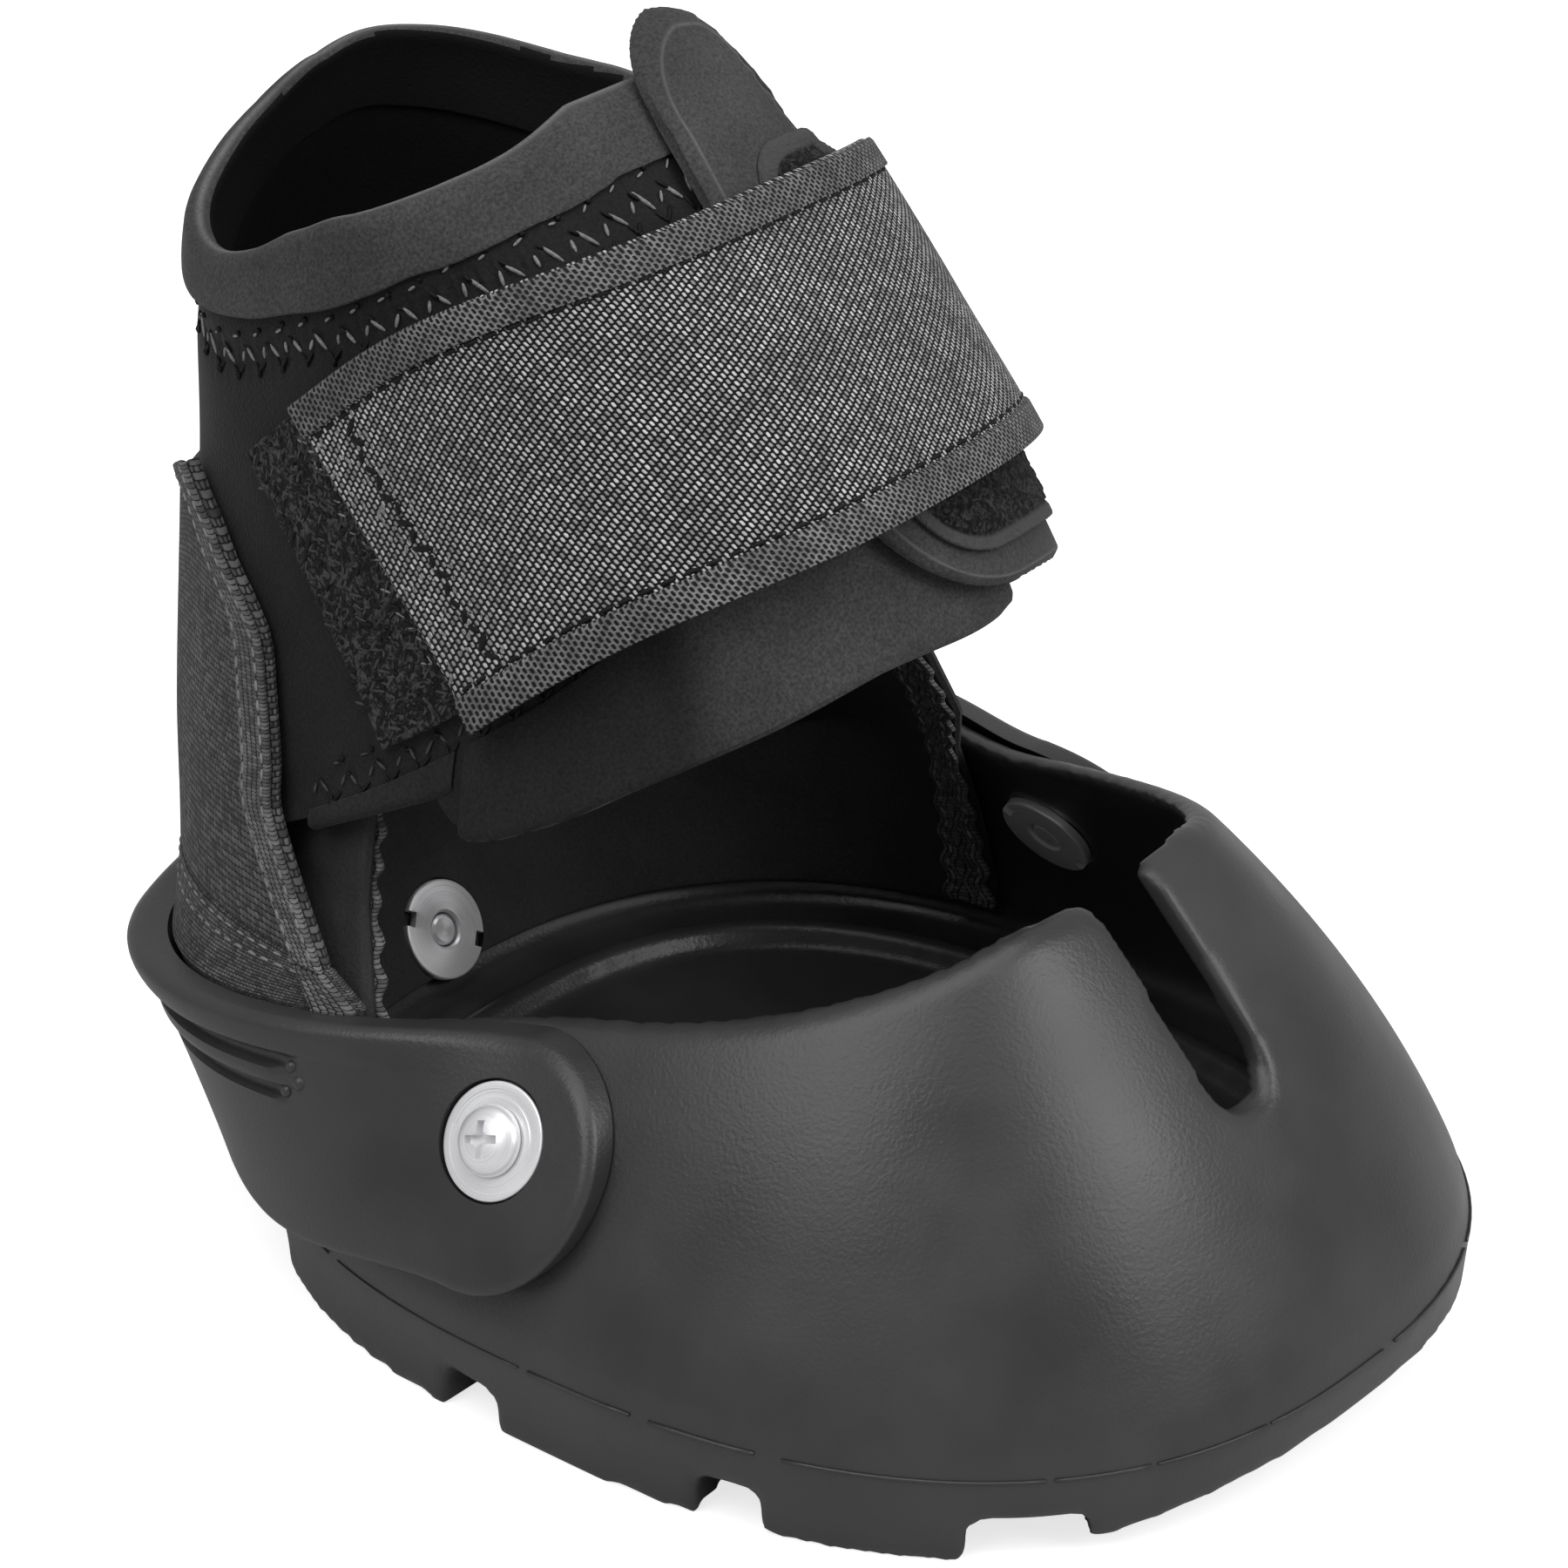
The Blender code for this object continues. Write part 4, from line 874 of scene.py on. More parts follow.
def knit_material(name, shade, roughness=0.85, contrast=0.7, sheen=0.1, painted_highlight=None, painted_shadow=None):
    """Smooth jersey of neoprene: a fine speckle with slow patches.

    The light line along an edge, given by its middle, half width and gain, is a painted highlight.
    The darkening along the piece, given by where it starts and ends and its levels there, is painted shadow.
    """
    material, tree, shader = plain_material(name, roughness, sheen, specular=0.2)
    found = group_node(tree, GRAIN, place_node(tree, 'object'), Grain_size=KNIT_GRAIN, Patch_size=0.012)
    grain = found["Grain"]
    speckle = sum_node(tree, 'MULTIPLY_ADD', grain, shade*contrast, shade*(1 - contrast/2))
    speckle = times(tree, speckle, ramp_node(tree, found["Patches"], 0, 1, 0.82, 1.18))
    # Painted highlight: a light line along the fold or chamfer, where a rounded edge would catch the light.
    if painted_highlight:
        middle, half, gain = painted_highlight
        away = sum_node(tree, 'ABSOLUTE', place_node(tree, 'attribute', "edge"))
        away = sum_node(tree, 'ABSOLUTE', sum_node(tree, 'SUBTRACT', away, middle))
        ragged = sum_node(tree, 'MULTIPLY_ADD', grain, half, away)
        line = ramp_node(tree, ragged, half/2, half*1.7, gain, 1.0, smooth=True)
        speckle = times(tree, speckle, line)
    # Painted shadow: the piece darkens along its length where it lies in shade.
    if painted_shadow:
        cloth = tree.nodes.new('ShaderNodeSeparateXYZ')
        tree.links.new(place_node(tree, 'uv', "cloth"), cloth.inputs[0])
        speckle = times(tree, speckle, ramp_node(tree, cloth.outputs[0], *painted_shadow, smooth=True))
    grey_link(tree, shader, speckle)
    bump_link(tree, shader, grain, KNIT_BUMP)
    return material


def woven_material(name, thread, gap, long, wide, shift, depth, vary, cover=0.31, across=False,
                   slots=False):
    """Cloth on the piece's UV map: raised thread floats with dark gaps, or dark slots in plain cloth."""
    material, tree, shader = plain_material(name, 0.7, 0.05, specular=0.25)
    cloth = place_node(tree, 'uv', "cloth")
    wobbled = tree.nodes.new('ShaderNodeVectorMath')
    wobbled.operation = 'MULTIPLY_ADD'
    tree.links.new(noise_node(tree, cloth, 700.0)['Color'], wobbled.inputs[0])
    wobbled.inputs[1].default_value = (THREAD_WOBBLE, THREAD_WOBBLE, 0.0)
    tree.links.new(cloth, wobbled.inputs[2])
    laid = wobbled.outputs[0]
    if across:
        laid = mapping_node(tree, laid, 'Rotation', (0.0, 0.0, math.pi/2))
    found = group_node(tree, WEAVE, laid, Float_length=long, Row_width=wide, Row_shift=shift, Gap=cover)
    patches = group_node(tree, GRAIN, place_node(tree, 'object'), Grain_size=0.0005, Patch_size=0.008)
    shine = sum_node(tree, 'MULTIPLY_ADD', found["Thread"], vary, 1 - vary/2)
    shine = times(tree, shine, ramp_node(tree, patches["Patches"], 0, 1, 0.8, 1.2))
    raised = sum_node(tree, 'SUBTRACT', 1.0, found["Raised"]) if slots else found["Raised"]
    lit = times(tree, times(tree, shine, thread), raised)
    grey_link(tree, shader, sum_node(tree, 'ADD', lit, gap))
    bump_link(tree, shader, raised if slots else found["Height"], depth)
    return material


def pile_material(name, low, high, border=None, scale=900.0):
    """Loop pile: tangled light fibres over dark, with a plain woven border where one is given."""
    material, tree, shader = plain_material(name, 0.9, 0.05, specular=0.25)
    tangle = noise_node(tree, place_node(tree, 'object'), scale, detail=4.0, distortion=1.6)['Fac']
    fibres = ramp_node(tree, tangle, 0.48, 0.66, low, high)
    if border:
        blend = tree.nodes.new('ShaderNodeMix')
        inside = ramp_node(tree, place_node(tree, 'attribute', "edge"), 0.0016, 0.0022, smooth=True)
        for socket, value in (('Factor', inside), ('A', border), ('B', fibres)):
            feed(tree, value, blend.inputs[socket])
        fibres = blend.outputs['Result']
    grey_link(tree, shader, fibres)
    bump_link(tree, shader, tangle, 0.0006)
    return material


def steel_material():
    """Zinc-plated steel turned on a lathe: fine rings round each piece's own axis."""
    material, tree, shader = plain_material("zinc_steel_look", 0.3, metallic=0.5)
    turned = mapping_node(tree, place_node(tree, 'uv', "turned"), 'Scale', (0.6, 9000.0, 1.0))
    rings = noise_node(tree, turned, 1.0)['Fac']
    grey_link(tree, shader, ramp_node(tree, rings, 0.3, 0.7, 0.76, 0.96))
    tree.links.new(ramp_node(tree, rings, 0.3, 0.7, 0.26, 0.42), shader.inputs["Roughness"])
    shader.inputs["Anisotropic"].default_value = 0.5
    tangent = tree.nodes.new('ShaderNodeTangent')
    tangent.direction_type = 'UV_MAP'
    tangent.uv_map = "turned"
    tree.links.new(tangent.outputs[0], shader.inputs["Tangent"])
    bump_link(tree, shader, rings, 0.00001)
    return material


RUBBER = rubber_material("shell_rubber", 0.035, 0.36)
CRADLE_RUBBER = rubber_material("cradle_rubber_look", 0.031, 0.36)
NEOPRENE = knit_material("neoprene_jersey", 0.012)
# The band's light line along its fold is a painted highlight.
BAND = knit_material("neoprene_band", 0.046, contrast=0.8, painted_highlight=(0.0, 0.0004, 2.6))
# The flap band has the same painted highlight along its fold, and painted shadow that darkens it toward the
# flap's corner, under the strap.
SHADED_FLAP_BAND = knit_material("flap_band_painted_shadow", 0.046, contrast=0.8, painted_highlight=(0.0, 0.0004, 2.6),
                          painted_shadow=(0.052, 0.060, 1.0, 0.30))
# The band's ends are a darker copy of the band: painted shade below the strap's sewn end.
SHADED_END_BAND = knit_material("band_end_painted_shade", 0.015, contrast=0.8)
# The tab's light line along its chamfer is a painted highlight.
TAB_KNIT = knit_material("tab_jersey", 0.050, painted_highlight=(0.0017, 0.0003, 2.0))
# The inside of the cuff and of the bands' folds is painted nearly black as shade.
SHADED_INSIDE = knit_material("cuff_inside_painted_shade", 0.003, contrast=0.3, sheen=0.0)
LINING = knit_material("lining_knit", 0.030, roughness=0.7, contrast=0.4, sheen=0.05)
NYLON = woven_material("coarse_nylon_cloth", 0.075, 0.006, 0.00062, 0.00058, 0.5, 0.00016, vary=1.1)
TWILL = woven_material("strap_twill", 0.38, 0.002, 0.00092, 0.00066, 0.34, 0.00022, vary=0.9, cover=0.66,
                       across=True)
RIBBED = woven_material("ribbed_tape", 0.140, 0.003, 0.00100, 0.00068, 0.5, 0.00016, vary=0.8, cover=0.62,
                        across=True, slots=True)
TAPE = woven_material("seam_tape", 0.110, 0.006, 0.00060, 0.00110, 0.5, 0.00012, vary=0.9)
ANCHOR = pile_material("anchor_webbing", 0.004, 0.060)
LOOP = pile_material("loop_pile", 0.002, 0.040, border=0.060)
HOOK = pile_material("hook_tape_look", 0.006, 0.040, scale=1500.0)
STEEL = steel_material()
THREAD = knit_material("black_thread", 0.006, roughness=0.6, contrast=0.3, sheen=0.0)
GREY_THREAD = knit_material("dull_thread", 0.045, roughness=0.5, contrast=0.5)
LIGHT_THREAD = knit_material("grey_thread", 0.200, roughness=0.5, contrast=0.5)


# Shell, heel cradle and fasteners


def tube(work, point, radius, columns, sides=8, closed=False):
    """Round bar along point(share)."""
    made = bmesh.ops.create_grid(work, x_segments=columns, y_segments=sides, size=0.5)["verts"]
    for vert in made:
        share = vert.co.x + 0.5
        turn = 2*math.pi*(vert.co.y + 0.5)
        here = point(share)
        ahead = (point(share + 0.002) - point(share - 0.002)).normalized()
        side = ahead.cross(Vector((0.0, 0.0, 1.0))).normalized()
        vert.co = here + side*radius*math.cos(turn) + side.cross(ahead)*radius*math.sin(turn)
    bmesh.ops.remove_doubles(work, verts=made, dist=1e-6)
    ends = [edge for edge in work.edges if edge.is_boundary]
    if ends and not closed:
        bmesh.ops.holes_fill(work, edges=ends, sides=sides)


def shell_profile():
    """Rows of the shell's skin as functions of the angle, from the sole over the rim down to the floor."""
    def level(height, out):
        return lambda a: moved_out(shell_outline, a, height, out)

    def wall(share, out, drop=0.0):
        return lambda a: wall_point(a, mix(PARTING_HEIGHT, rim_height(a), share) - drop, out)

    corner = CORNER_SHARE*RIM_ROUND
    rows = [level(0.0, -SOLE_DRAFT), level(PARTING_HEIGHT/2, -SOLE_DRAFT/2),
            level(PARTING_HEIGHT - PARTING_LEDGE, 0.0), level(PARTING_HEIGHT, -PARTING_LEDGE/2)]
    rows += [wall(k/WALL_ROWS, 0.0, RIM_ROUND*k/WALL_ROWS) for k in range(1, WALL_ROWS + 1)]
    rows += [wall(1.0, -corner, corner), wall(1.0, -RIM_ROUND),
             wall(1.0, RIM_ROUND - WALL), wall(1.0, corner - WALL, corner)]
    rows += [wall(k/WALL_ROWS, -WALL, RIM_ROUND*k/WALL_ROWS) for k in range(WALL_ROWS, 1, -1)]
    rows += [lambda a: wall_point(a, FLOOR_HEIGHT + FLOOR_FILLET, -WALL),
             level(FLOOR_HEIGHT + 0.3*FLOOR_FILLET, -WALL - 0.3*FLOOR_FILLET),
             level(FLOOR_HEIGHT, -WALL - FLOOR_FILLET)]
    return rows


def skin_rows(rows, columns):
    """Closed skin through rows of points round the boot, capped at both ends."""
    work = bmesh.new()
    made = bmesh.ops.create_grid(work, x_segments=columns, y_segments=len(rows) - 1, size=0.5)["verts"]
    for vert in made:
        row = rows[round((vert.co.y + 0.5)*(len(rows) - 1))]
        vert.co = row(360*(vert.co.x + 0.5))
    bmesh.ops.remove_doubles(work, verts=made, dist=1e-6)
    bmesh.ops.holes_fill(work, edges=[edge for edge in work.edges if edge.is_boundary], sides=0)
    return work


def block(size, matrix, soften=0.0):
    """Box placed by a matrix, with the edges along its Y rounded where soften is given."""
    work = bmesh.new()
    bmesh.ops.create_cube(work, size=1.0)
    bmesh.ops.scale(work, vec=size, verts=work.verts)
    if soften:
        along = [e for e in work.edges if abs((e.verts[0].co - e.verts[1].co).y) > size[1]/2]
        bmesh.ops.bevel(work, geom=along, offset=soften, segments=3, affect='EDGES', profile=0.5)
    bmesh.ops.transform(work, matrix=matrix, verts=work.verts)
    return work


def drum(radius, low, high, matrix, steps=48):
    """Round bar from low to high on Z, placed by a matrix."""
    work = bmesh.new()
    middle = Matrix.Translation((0.0, 0.0, (low + high)/2))
    bmesh.ops.create_cone(work, cap_ends=True, segments=steps, radius1=radius, radius2=radius,
                          depth=high - low, matrix=middle)
    bmesh.ops.transform(work, matrix=matrix, verts=work.verts)
    return work


def bolt_frame(angle, height):
    """Matrix of a bolt through the wall, with Z along the wall's normal, and how level that normal lies."""
    here = wall_point(angle, height)
    up = (wall_point(angle, height + 0.0008) - here).normalized()
    along = (wall_point(angle + 1, height) - here).normalized()
    normal = along.cross(up).normalized()
    if normal.dot(wall_point(angle, height, 0.0008) - here) < 0:
        normal = -normal
    side = up.cross(normal).normalized()
    matrix = Matrix.Translation(here) @ Matrix((side, up, normal)).transposed().to_4x4()
    return matrix, abs(normal.xy.length)


def bolt_seats(level, clamped):
    """Where the nut and the washer bear, along the bolt's own Z."""
    return NUT_SEAT - (WALL + clamped)*level, (CRADLE_FIT + CRADLE_THICKNESS)*level - WASHER_RECESS


BOLTS = (("side_left", SIDE_BOLT_ANGLE, SIDE_BOLT_HEIGHT, 0.0),
         ("side_right", -SIDE_BOLT_ANGLE, SIDE_BOLT_HEIGHT, 0.0),
         ("heel", 180.0, HEEL_BOLT_HEIGHT, FIT + LINING_THICKNESS))


def nut_cutters(matrix, nut_seat, end, grow=0.0):
    """Pocket of a nut's flange and the hole of its barrel."""
    return [drum(NUT_FLANGE_RADIUS + FIT + grow, nut_seat - NUT_POCKET, nut_seat, matrix),
            drum(NUT_BARREL_RADIUS + FIT, nut_seat - HOLE_OVERLAP, end, matrix)]


def bolt_cutters(grow=0.0):
    """Seats of the three nuts, the bolt holes and the washers' recesses."""
    cutters = []
    for _, angle, height, clamped in BOLTS:
        matrix, level = bolt_frame(angle, height)
        nut_seat, washer_seat = bolt_seats(level, clamped)
        cutters += nut_cutters(matrix, nut_seat, washer_seat + HOLE_OVERLAP, grow)
        cutters.append(drum(WASHER_RADIUS + FIT + grow, washer_seat, washer_seat + WASHER_POCKET, matrix))
    return cutters


def tread_cutters():
    """Toe bevel, the hollow inside the tread's border, and the grooves between its lugs."""
    slope = math.atan2(BEVEL_RISE, TOE_REACH - BEVEL_START)
    wedge = Matrix.Translation((0.0, -BEVEL_START, 0.0)) @ Matrix.Rotation(-slope, 4, 'X')
    under = Matrix.Translation((0.0, -BEVEL_BLOCK[1]/2, -BEVEL_BLOCK[2]/2))
    cutters = [block(BEVEL_BLOCK, wedge @ under)]
    hollow = bmesh.new()
    circle = bmesh.ops.create_circle(hollow, cap_ends=True, segments=90, radius=1.0)["verts"]
    for vert in circle:
        angle = math.degrees(math.atan2(vert.co.x, -vert.co.y))
        vert.co = moved_out(shell_outline, angle, -CUT_BEYOND, -TREAD_BORDER)
    top = bmesh.ops.extrude_face_region(hollow, geom=list(hollow.faces))["geom"]
    bmesh.ops.translate(hollow, vec=(0.0, 0.0, CUT_BEYOND + TREAD_DEPTH),
                        verts=[item for item in top if isinstance(item, bmesh.types.BMVert)])
    cutters.append(hollow)
    middle = Vector((0.0, 0.0, (TREAD_DEPTH - CUT_BEYOND)/2))
    for side in (1, -1):
        for angle, width in GROOVES:
            edge = moved_out(shell_outline, side*angle, 0.0, CUT_BEYOND)
            inner = moved_out(shell_outline, side*angle, 0.0, -TREAD_BORDER - 0.001)
            away = edge - inner
            turn = Matrix.Rotation(math.atan2(away.y, away.x) - math.pi/2, 4, 'Z')
            matrix = Matrix.Translation((edge + inner)/2 + middle) @ turn
            cutters.append(block((width, away.length, CUT_BEYOND + TREAD_DEPTH), matrix, soften=LUG_CORNER))
    return cutters


def slot_cutters():
    """Toe slot, open at the rim and round at its foot."""
    foot = SLOT_FOOT + SLOT_WIDTH/2
    spot = Matrix.Translation((0.0, -TOE_REACH/2 - CUT_BEYOND, foot + SLOT_CUT/2))
    lying = Matrix.Translation((0.0, 0.0, foot)) @ Matrix.Rotation(math.pi/2, 4, 'X')
    return [block((SLOT_WIDTH, TOE_REACH, SLOT_CUT), spot),
            drum(SLOT_WIDTH/2, CUT_BEYOND, TOE_REACH + CUT_BEYOND, lying, steps=32)]


def make_shell():
    """Shell with a ring and ribs on its floor, cut by its openings, then given one soft even skin."""
    work = skin_rows(shell_profile(), 180)

    def ring(share):
        return moved_out(shell_outline, 360*share, FLOOR_HEIGHT + FLOOR_RING_LIFT, -FLOOR_RING_INSET)

    tube(work, ring, FLOOR_RING_RADIUS, 120, closed=True)
    half_ring = [ring(k/240) for k in range(120)]
    at = -TOE_REACH + FLOOR_RING_INSET + FLOOR_RIB_PITCH
    while at < HEEL_REACH - FLOOR_RING_INSET - FLOOR_RIB_PITCH/2:
        half = max(point.x for point in half_ring if abs(point.y - at) < 0.002)
        tilt = Matrix.Translation((0.0, at, FLOOR_HEIGHT)) @ Matrix.Rotation(math.pi/2, 4, 'Y')
        bmesh.ops.create_cone(work, cap_ends=True, segments=8, radius1=FLOOR_RIB_RADIUS,
                              radius2=FLOOR_RIB_RADIUS, depth=2*half, matrix=tilt)
        at += FLOOR_RIB_PITCH
    shell = add_piece("shell_moulding", work, RUBBER, "boot", ("shell",), sharp=180.0)
    cut_away(shell, tread_cutters() + slot_cutters() + bolt_cutters(grow=0.0002))

    remesh = shell.modifiers.new("even skin", 'REMESH')
    remesh.mode = 'VOXEL'
    remesh.voxel_size = VOXEL
    remesh.use_smooth_shade = True
    smooth = shell.modifiers.new("soften", 'SMOOTH')
    smooth.factor = 0.5
    smooth.iterations = 5
    keep_shape(shell)
    shell.data.shade_smooth()


def make_parting_line():
    """Thin flash where the halves of the mould met, broken where it was trimmed."""
    work = bmesh.new()
    start = -FLASH_END
    while start < FLASH_END:
        end = min(start + seeded.uniform(*FLASH_RUNS), FLASH_END)

        def point(share, start=start, end=end):
            angle = mix(start, end, share)
            return moved_out(shell_outline, angle, PARTING_HEIGHT - FLASH_DROP, -FLASH_SINK)

        tube(work, point, seeded.uniform(*FLASH_RADII), max(round((end - start)/2), 2), sides=6)
        start = end + seeded.uniform(*FLASH_GAPS)
    add_piece("parting_flash", work, RUBBER, "boot", sharp=180.0)


@lru_cache(maxsize=None)
def angle_ahead(reach):
    """Angle at which the wall, at the side bolts' height, lies a distance ahead of the bolt."""
    target = wall_point(SIDE_BOLT_ANGLE, SIDE_BOLT_HEIGHT).y - reach
    return crossing(SIDE_BOLT_ANGLE - 60, SIDE_BOLT_ANGLE, 24,
                    lambda at: wall_point(at, SIDE_BOLT_HEIGHT).y < target)[1]


def make_cradle():
    """Band round the heel with a rolled lip and two ears over the side bolts."""
    falls = [fall/1000 for fall in CRADLE_FALLS]
    foot_rows = len(falls) + len(CRADLE_LOWER_SHARES)
    rows = foot_rows + len(CRADLE_FOOT_RISES) - 1

    def station(u):
        """Angle, foot and top at a share from right ear to left ear, and how far ahead in an ear."""
        s = abs(2*u - 1)
        if s > 1 - EAR_SHARE:
            turn = math.radians(max(90*(1 - s)/EAR_SHARE, 1.5))
            angle = angle_ahead(round(EAR_RADIUS*math.cos(turn), 7))
            foot = SIDE_BOLT_HEIGHT - EAR_RADIUS*math.sin(turn)
            top = SIDE_BOLT_HEIGHT + EAR_RISE*math.sin(turn)
            ahead = math.cos(turn)
        else:
            angle = mix(180.0, SIDE_BOLT_ANGLE, s/(1 - EAR_SHARE))
            behind = ease(SIDE_BOLT_ANGLE, SIDE_BOLT_ANGLE + 30, angle)
            foot = mix(SIDE_BOLT_HEIGHT - EAR_RADIUS, CRADLE_FOOT, behind)
            top = cradle_top(angle)
            ahead = 0.0
        return (angle if u > 0.5 else -angle), foot, top, ahead

    def where(u, v):
        """Angle and height of a place, its fall below the top, and its distance in from the outline."""
        angle, foot, top, ahead = station(u)
        squeeze = min((top - foot)/CRADLE_FULL_HEIGHT, 1.0)
        k = round(v*rows)
        if k < len(falls):
            height = top - falls[k]*squeeze
        elif k < foot_rows:
            share = CRADLE_LOWER_SHARES[k - len(falls)]
            height = mix(top - falls[-1]*squeeze, foot + CRADLE_FOOT_RISES[0]*squeeze, share)
        else:
            height = foot + CRADLE_FOOT_RISES[k - foot_rows]*squeeze
        above = height - SIDE_BOLT_HEIGHT
        if ahead > 0:
            share = math.hypot(ahead, above/(EAR_RISE if above > 0 else EAR_RADIUS))
            edge = (1 - share)*EAR_RADIUS
        else:
            edge = min(top - height, height - foot)
        return angle, height, top - height, max(edge, 0.0)

    def inner(u, v):
        angle, height = where(u, v)[:2]
        return wall_point(angle, height, CRADLE_FIT)

    def outer(u, v):
        angle, height, fall, edge = where(u, v)
        at = folded(angle)
        out = CRADLE_FIT + CRADLE_THICKNESS - rolled(edge, CRADLE_ROUND)
        off = min(abs(fall - LIP_HEIGHT/2)/(LIP_HEIGHT/2), 1.0)
        out += LIP_BULGE*ease(*LIP_SWELLS, at)*math.sqrt(1 - off*off)
        cutting = ease(*GROOVES_START, at)
        for middle in LIP_GROOVES:
            away = abs(fall - middle)/GROOVE_HALF
            out -= GROOVE_DEPTH*cutting*max(1 - away**4/6, 0.0) if away < 1.6 else 0.0
        rib = abs(fall - (LIP_GROOVES[0] + LIP_GROOVES[1])/2)/LIP_RIB_HALF
        out += LIP_RIB*cutting*max(1 - rib**2, 0.0)
        return wall_point(angle, height, out)

    cradle = add_piece("cradle_moulding", slab(300, rows, inner, outer), CRADLE_RUBBER, "boot",
                       ("heel_cradle",), sharp=50.0)
    cut_away(cradle, bolt_cutters(), sharp=50.0)

    studs = bmesh.new()
    for side in (1, -1):
        for fall, angle, size in LIP_STUDS:
            out = CRADLE_FIT + CRADLE_THICKNESS - size/2
            here = Matrix.Translation(wall_point(side*angle, cradle_top(angle) - fall, out))
            bmesh.ops.create_uvsphere(studs, u_segments=14, v_segments=9, radius=size, matrix=here)
    add_piece("lip_studs", studs, CRADLE_RUBBER, "boot", sharp=180.0)


def lathe(profile, matrix, steps=96, closed=True):
    """Solid turned from a profile of radius and height and placed by a matrix.

    Its UV map holds the turn and the radius.
    """
    work = bmesh.new()
    verts = [work.verts.new((radius, 0.0, height)) for radius, height in profile]
    edges = [work.edges.new(pair) for pair in zip(verts, verts[1:])]
    if closed:
        edges.append(work.edges.new((verts[-1], verts[0])))
    bmesh.ops.spin(work, geom=verts + edges, cent=(0.0, 0.0, 0.0), axis=(0.0, 0.0, 1.0), angle=2*math.pi,
                   steps=steps, use_merge=True)
    bmesh.ops.remove_doubles(work, verts=work.verts, dist=1e-6)
    turned = work.loops.layers.uv.new("turned")
    for face in work.faces:
        middle = face.calc_center_median()
        base = math.atan2(middle.y, middle.x)
        for corner in face.loops:
            at = corner.vert.co
            swing = 0.0
            if at.xy.length > 1e-6:
                swing = (math.atan2(at.y, at.x) - base + math.pi) % (2*math.pi) - math.pi
            corner[turned].uv = ((base + swing)/(2*math.pi), at.xy.length)
    bmesh.ops.transform(work, matrix=matrix, verts=work.verts)
    return work


def arc(middle, radius, start, end):
    """Points of an arc in a profile, angles in degrees from the +radius way."""
    angles = [math.radians(mix(start, end, k/4)) for k in range(5)]
    return [(middle[0] + radius*math.cos(a), middle[1] + radius*math.sin(a)) for a in angles]


def make_fasteners():
    """Washer, T-nut and cross-recess screw of each bolt, laid out along the bolt's own Z."""
    bore = SCREW_RADIUS + FIT
    for place, angle, height, clamped in BOLTS:
        matrix, level = bolt_frame(angle, height)
        nut_seat, washer_seat = bolt_seats(level, clamped)
        foot = washer_seat + FIT
        top = foot + WASHER_THICKNESS
        rim = WASHER_RADIUS - DISC_ROUND
        washer = lathe([(bore, foot), (rim, foot)] + arc((rim, top - DISC_ROUND), DISC_ROUND, 0, 90)
                       + [(radius, top + rise) for radius, rise in WASHER_GROOVE] + [(bore, top)], matrix)
        add_piece(f"{place}_washer_disc", washer, STEEL, "boot", (f"{place}_washer",))

        back = nut_seat - FIT
        face = back - NUT_FLANGE
        barrel = back + NUT_BARREL_LENGTH
        rim = NUT_FLANGE_RADIUS - DISC_ROUND
        nut = lathe([(bore, face + CHAMFER), (bore + CHAMFER, face), (rim, face)]
                    + arc((rim, face + DISC_ROUND), DISC_ROUND, -90, 0)
                    + [(NUT_FLANGE_RADIUS, back), (NUT_BARREL_RADIUS, back),
                       (NUT_BARREL_RADIUS, barrel), (bore, barrel)], matrix)
        nut = add_piece(f"{place}_nut_disc", nut, STEEL, "boot", (f"{place}_t_nut",))
        turned = Matrix.Rotation(math.radians(NOTCH_TURN), 4, 'Z')
        spots = [turned @ Matrix.Translation((side*NUT_FLANGE_RADIUS, 0.0, face)) for side in (1, -1)]
        cut_away(nut, [block(NUT_NOTCH, matrix @ spot) for spot in spots], sharp=35.0)

        head = top + FIT
        brim = head + CHAMFER
        crown = head + SCREW_HEAD_HEIGHT
        tip = face + TIP_INSET
        dome = [math.radians(angle) for angle in range(9, 90, 9)]
        screw = lathe([(0.0, tip), (SCREW_RADIUS - TIP_CHAMFER, tip), (SCREW_RADIUS, tip + TIP_CHAMFER),
                       (SCREW_RADIUS, head), (SCREW_HEAD_RADIUS, head), (SCREW_HEAD_RADIUS, brim)]
                      + [(SCREW_HEAD_RADIUS*math.cos(a), mix(brim, crown, math.sin(a))) for a in dome]
                      + [(0.0, crown)], matrix, steps=64, closed=False)
        screw = add_piece(f"{place}_screw_turned", screw, STEEL, "boot", (f"{place}_screw",))
        on_crown = Matrix.Translation((0.0, 0.0, crown))
        drives = []
        for turn, deep in CROSS_SLOTS:
            spot = on_crown @ Matrix.Rotation(math.radians(turn), 4, 'Z')
            drives.append(block((CROSS_LENGTH, CROSS_WIDTH, deep), matrix @ spot, soften=CHAMFER))
        well = bmesh.new()
        bmesh.ops.create_icosphere(well, subdivisions=2, radius=CROSS_PIT_RADIUS)
        pit = on_crown @ Matrix.Diagonal((1.0, 1.0, 1.3, 1.0))
        bmesh.ops.transform(well, matrix=matrix @ pit, verts=well.verts)
        cut_away(screw, drives + [well], sharp=35.0)


# Cuff and its bands


def cuff_bell(angle, height):
    """How far the cuff opens outward under its top edge."""
    top = cuff_top(angle)
    return smooth_table(CUFF_BELLS, angle % 360)*ease(top - BELL_DEPTH, top, height)


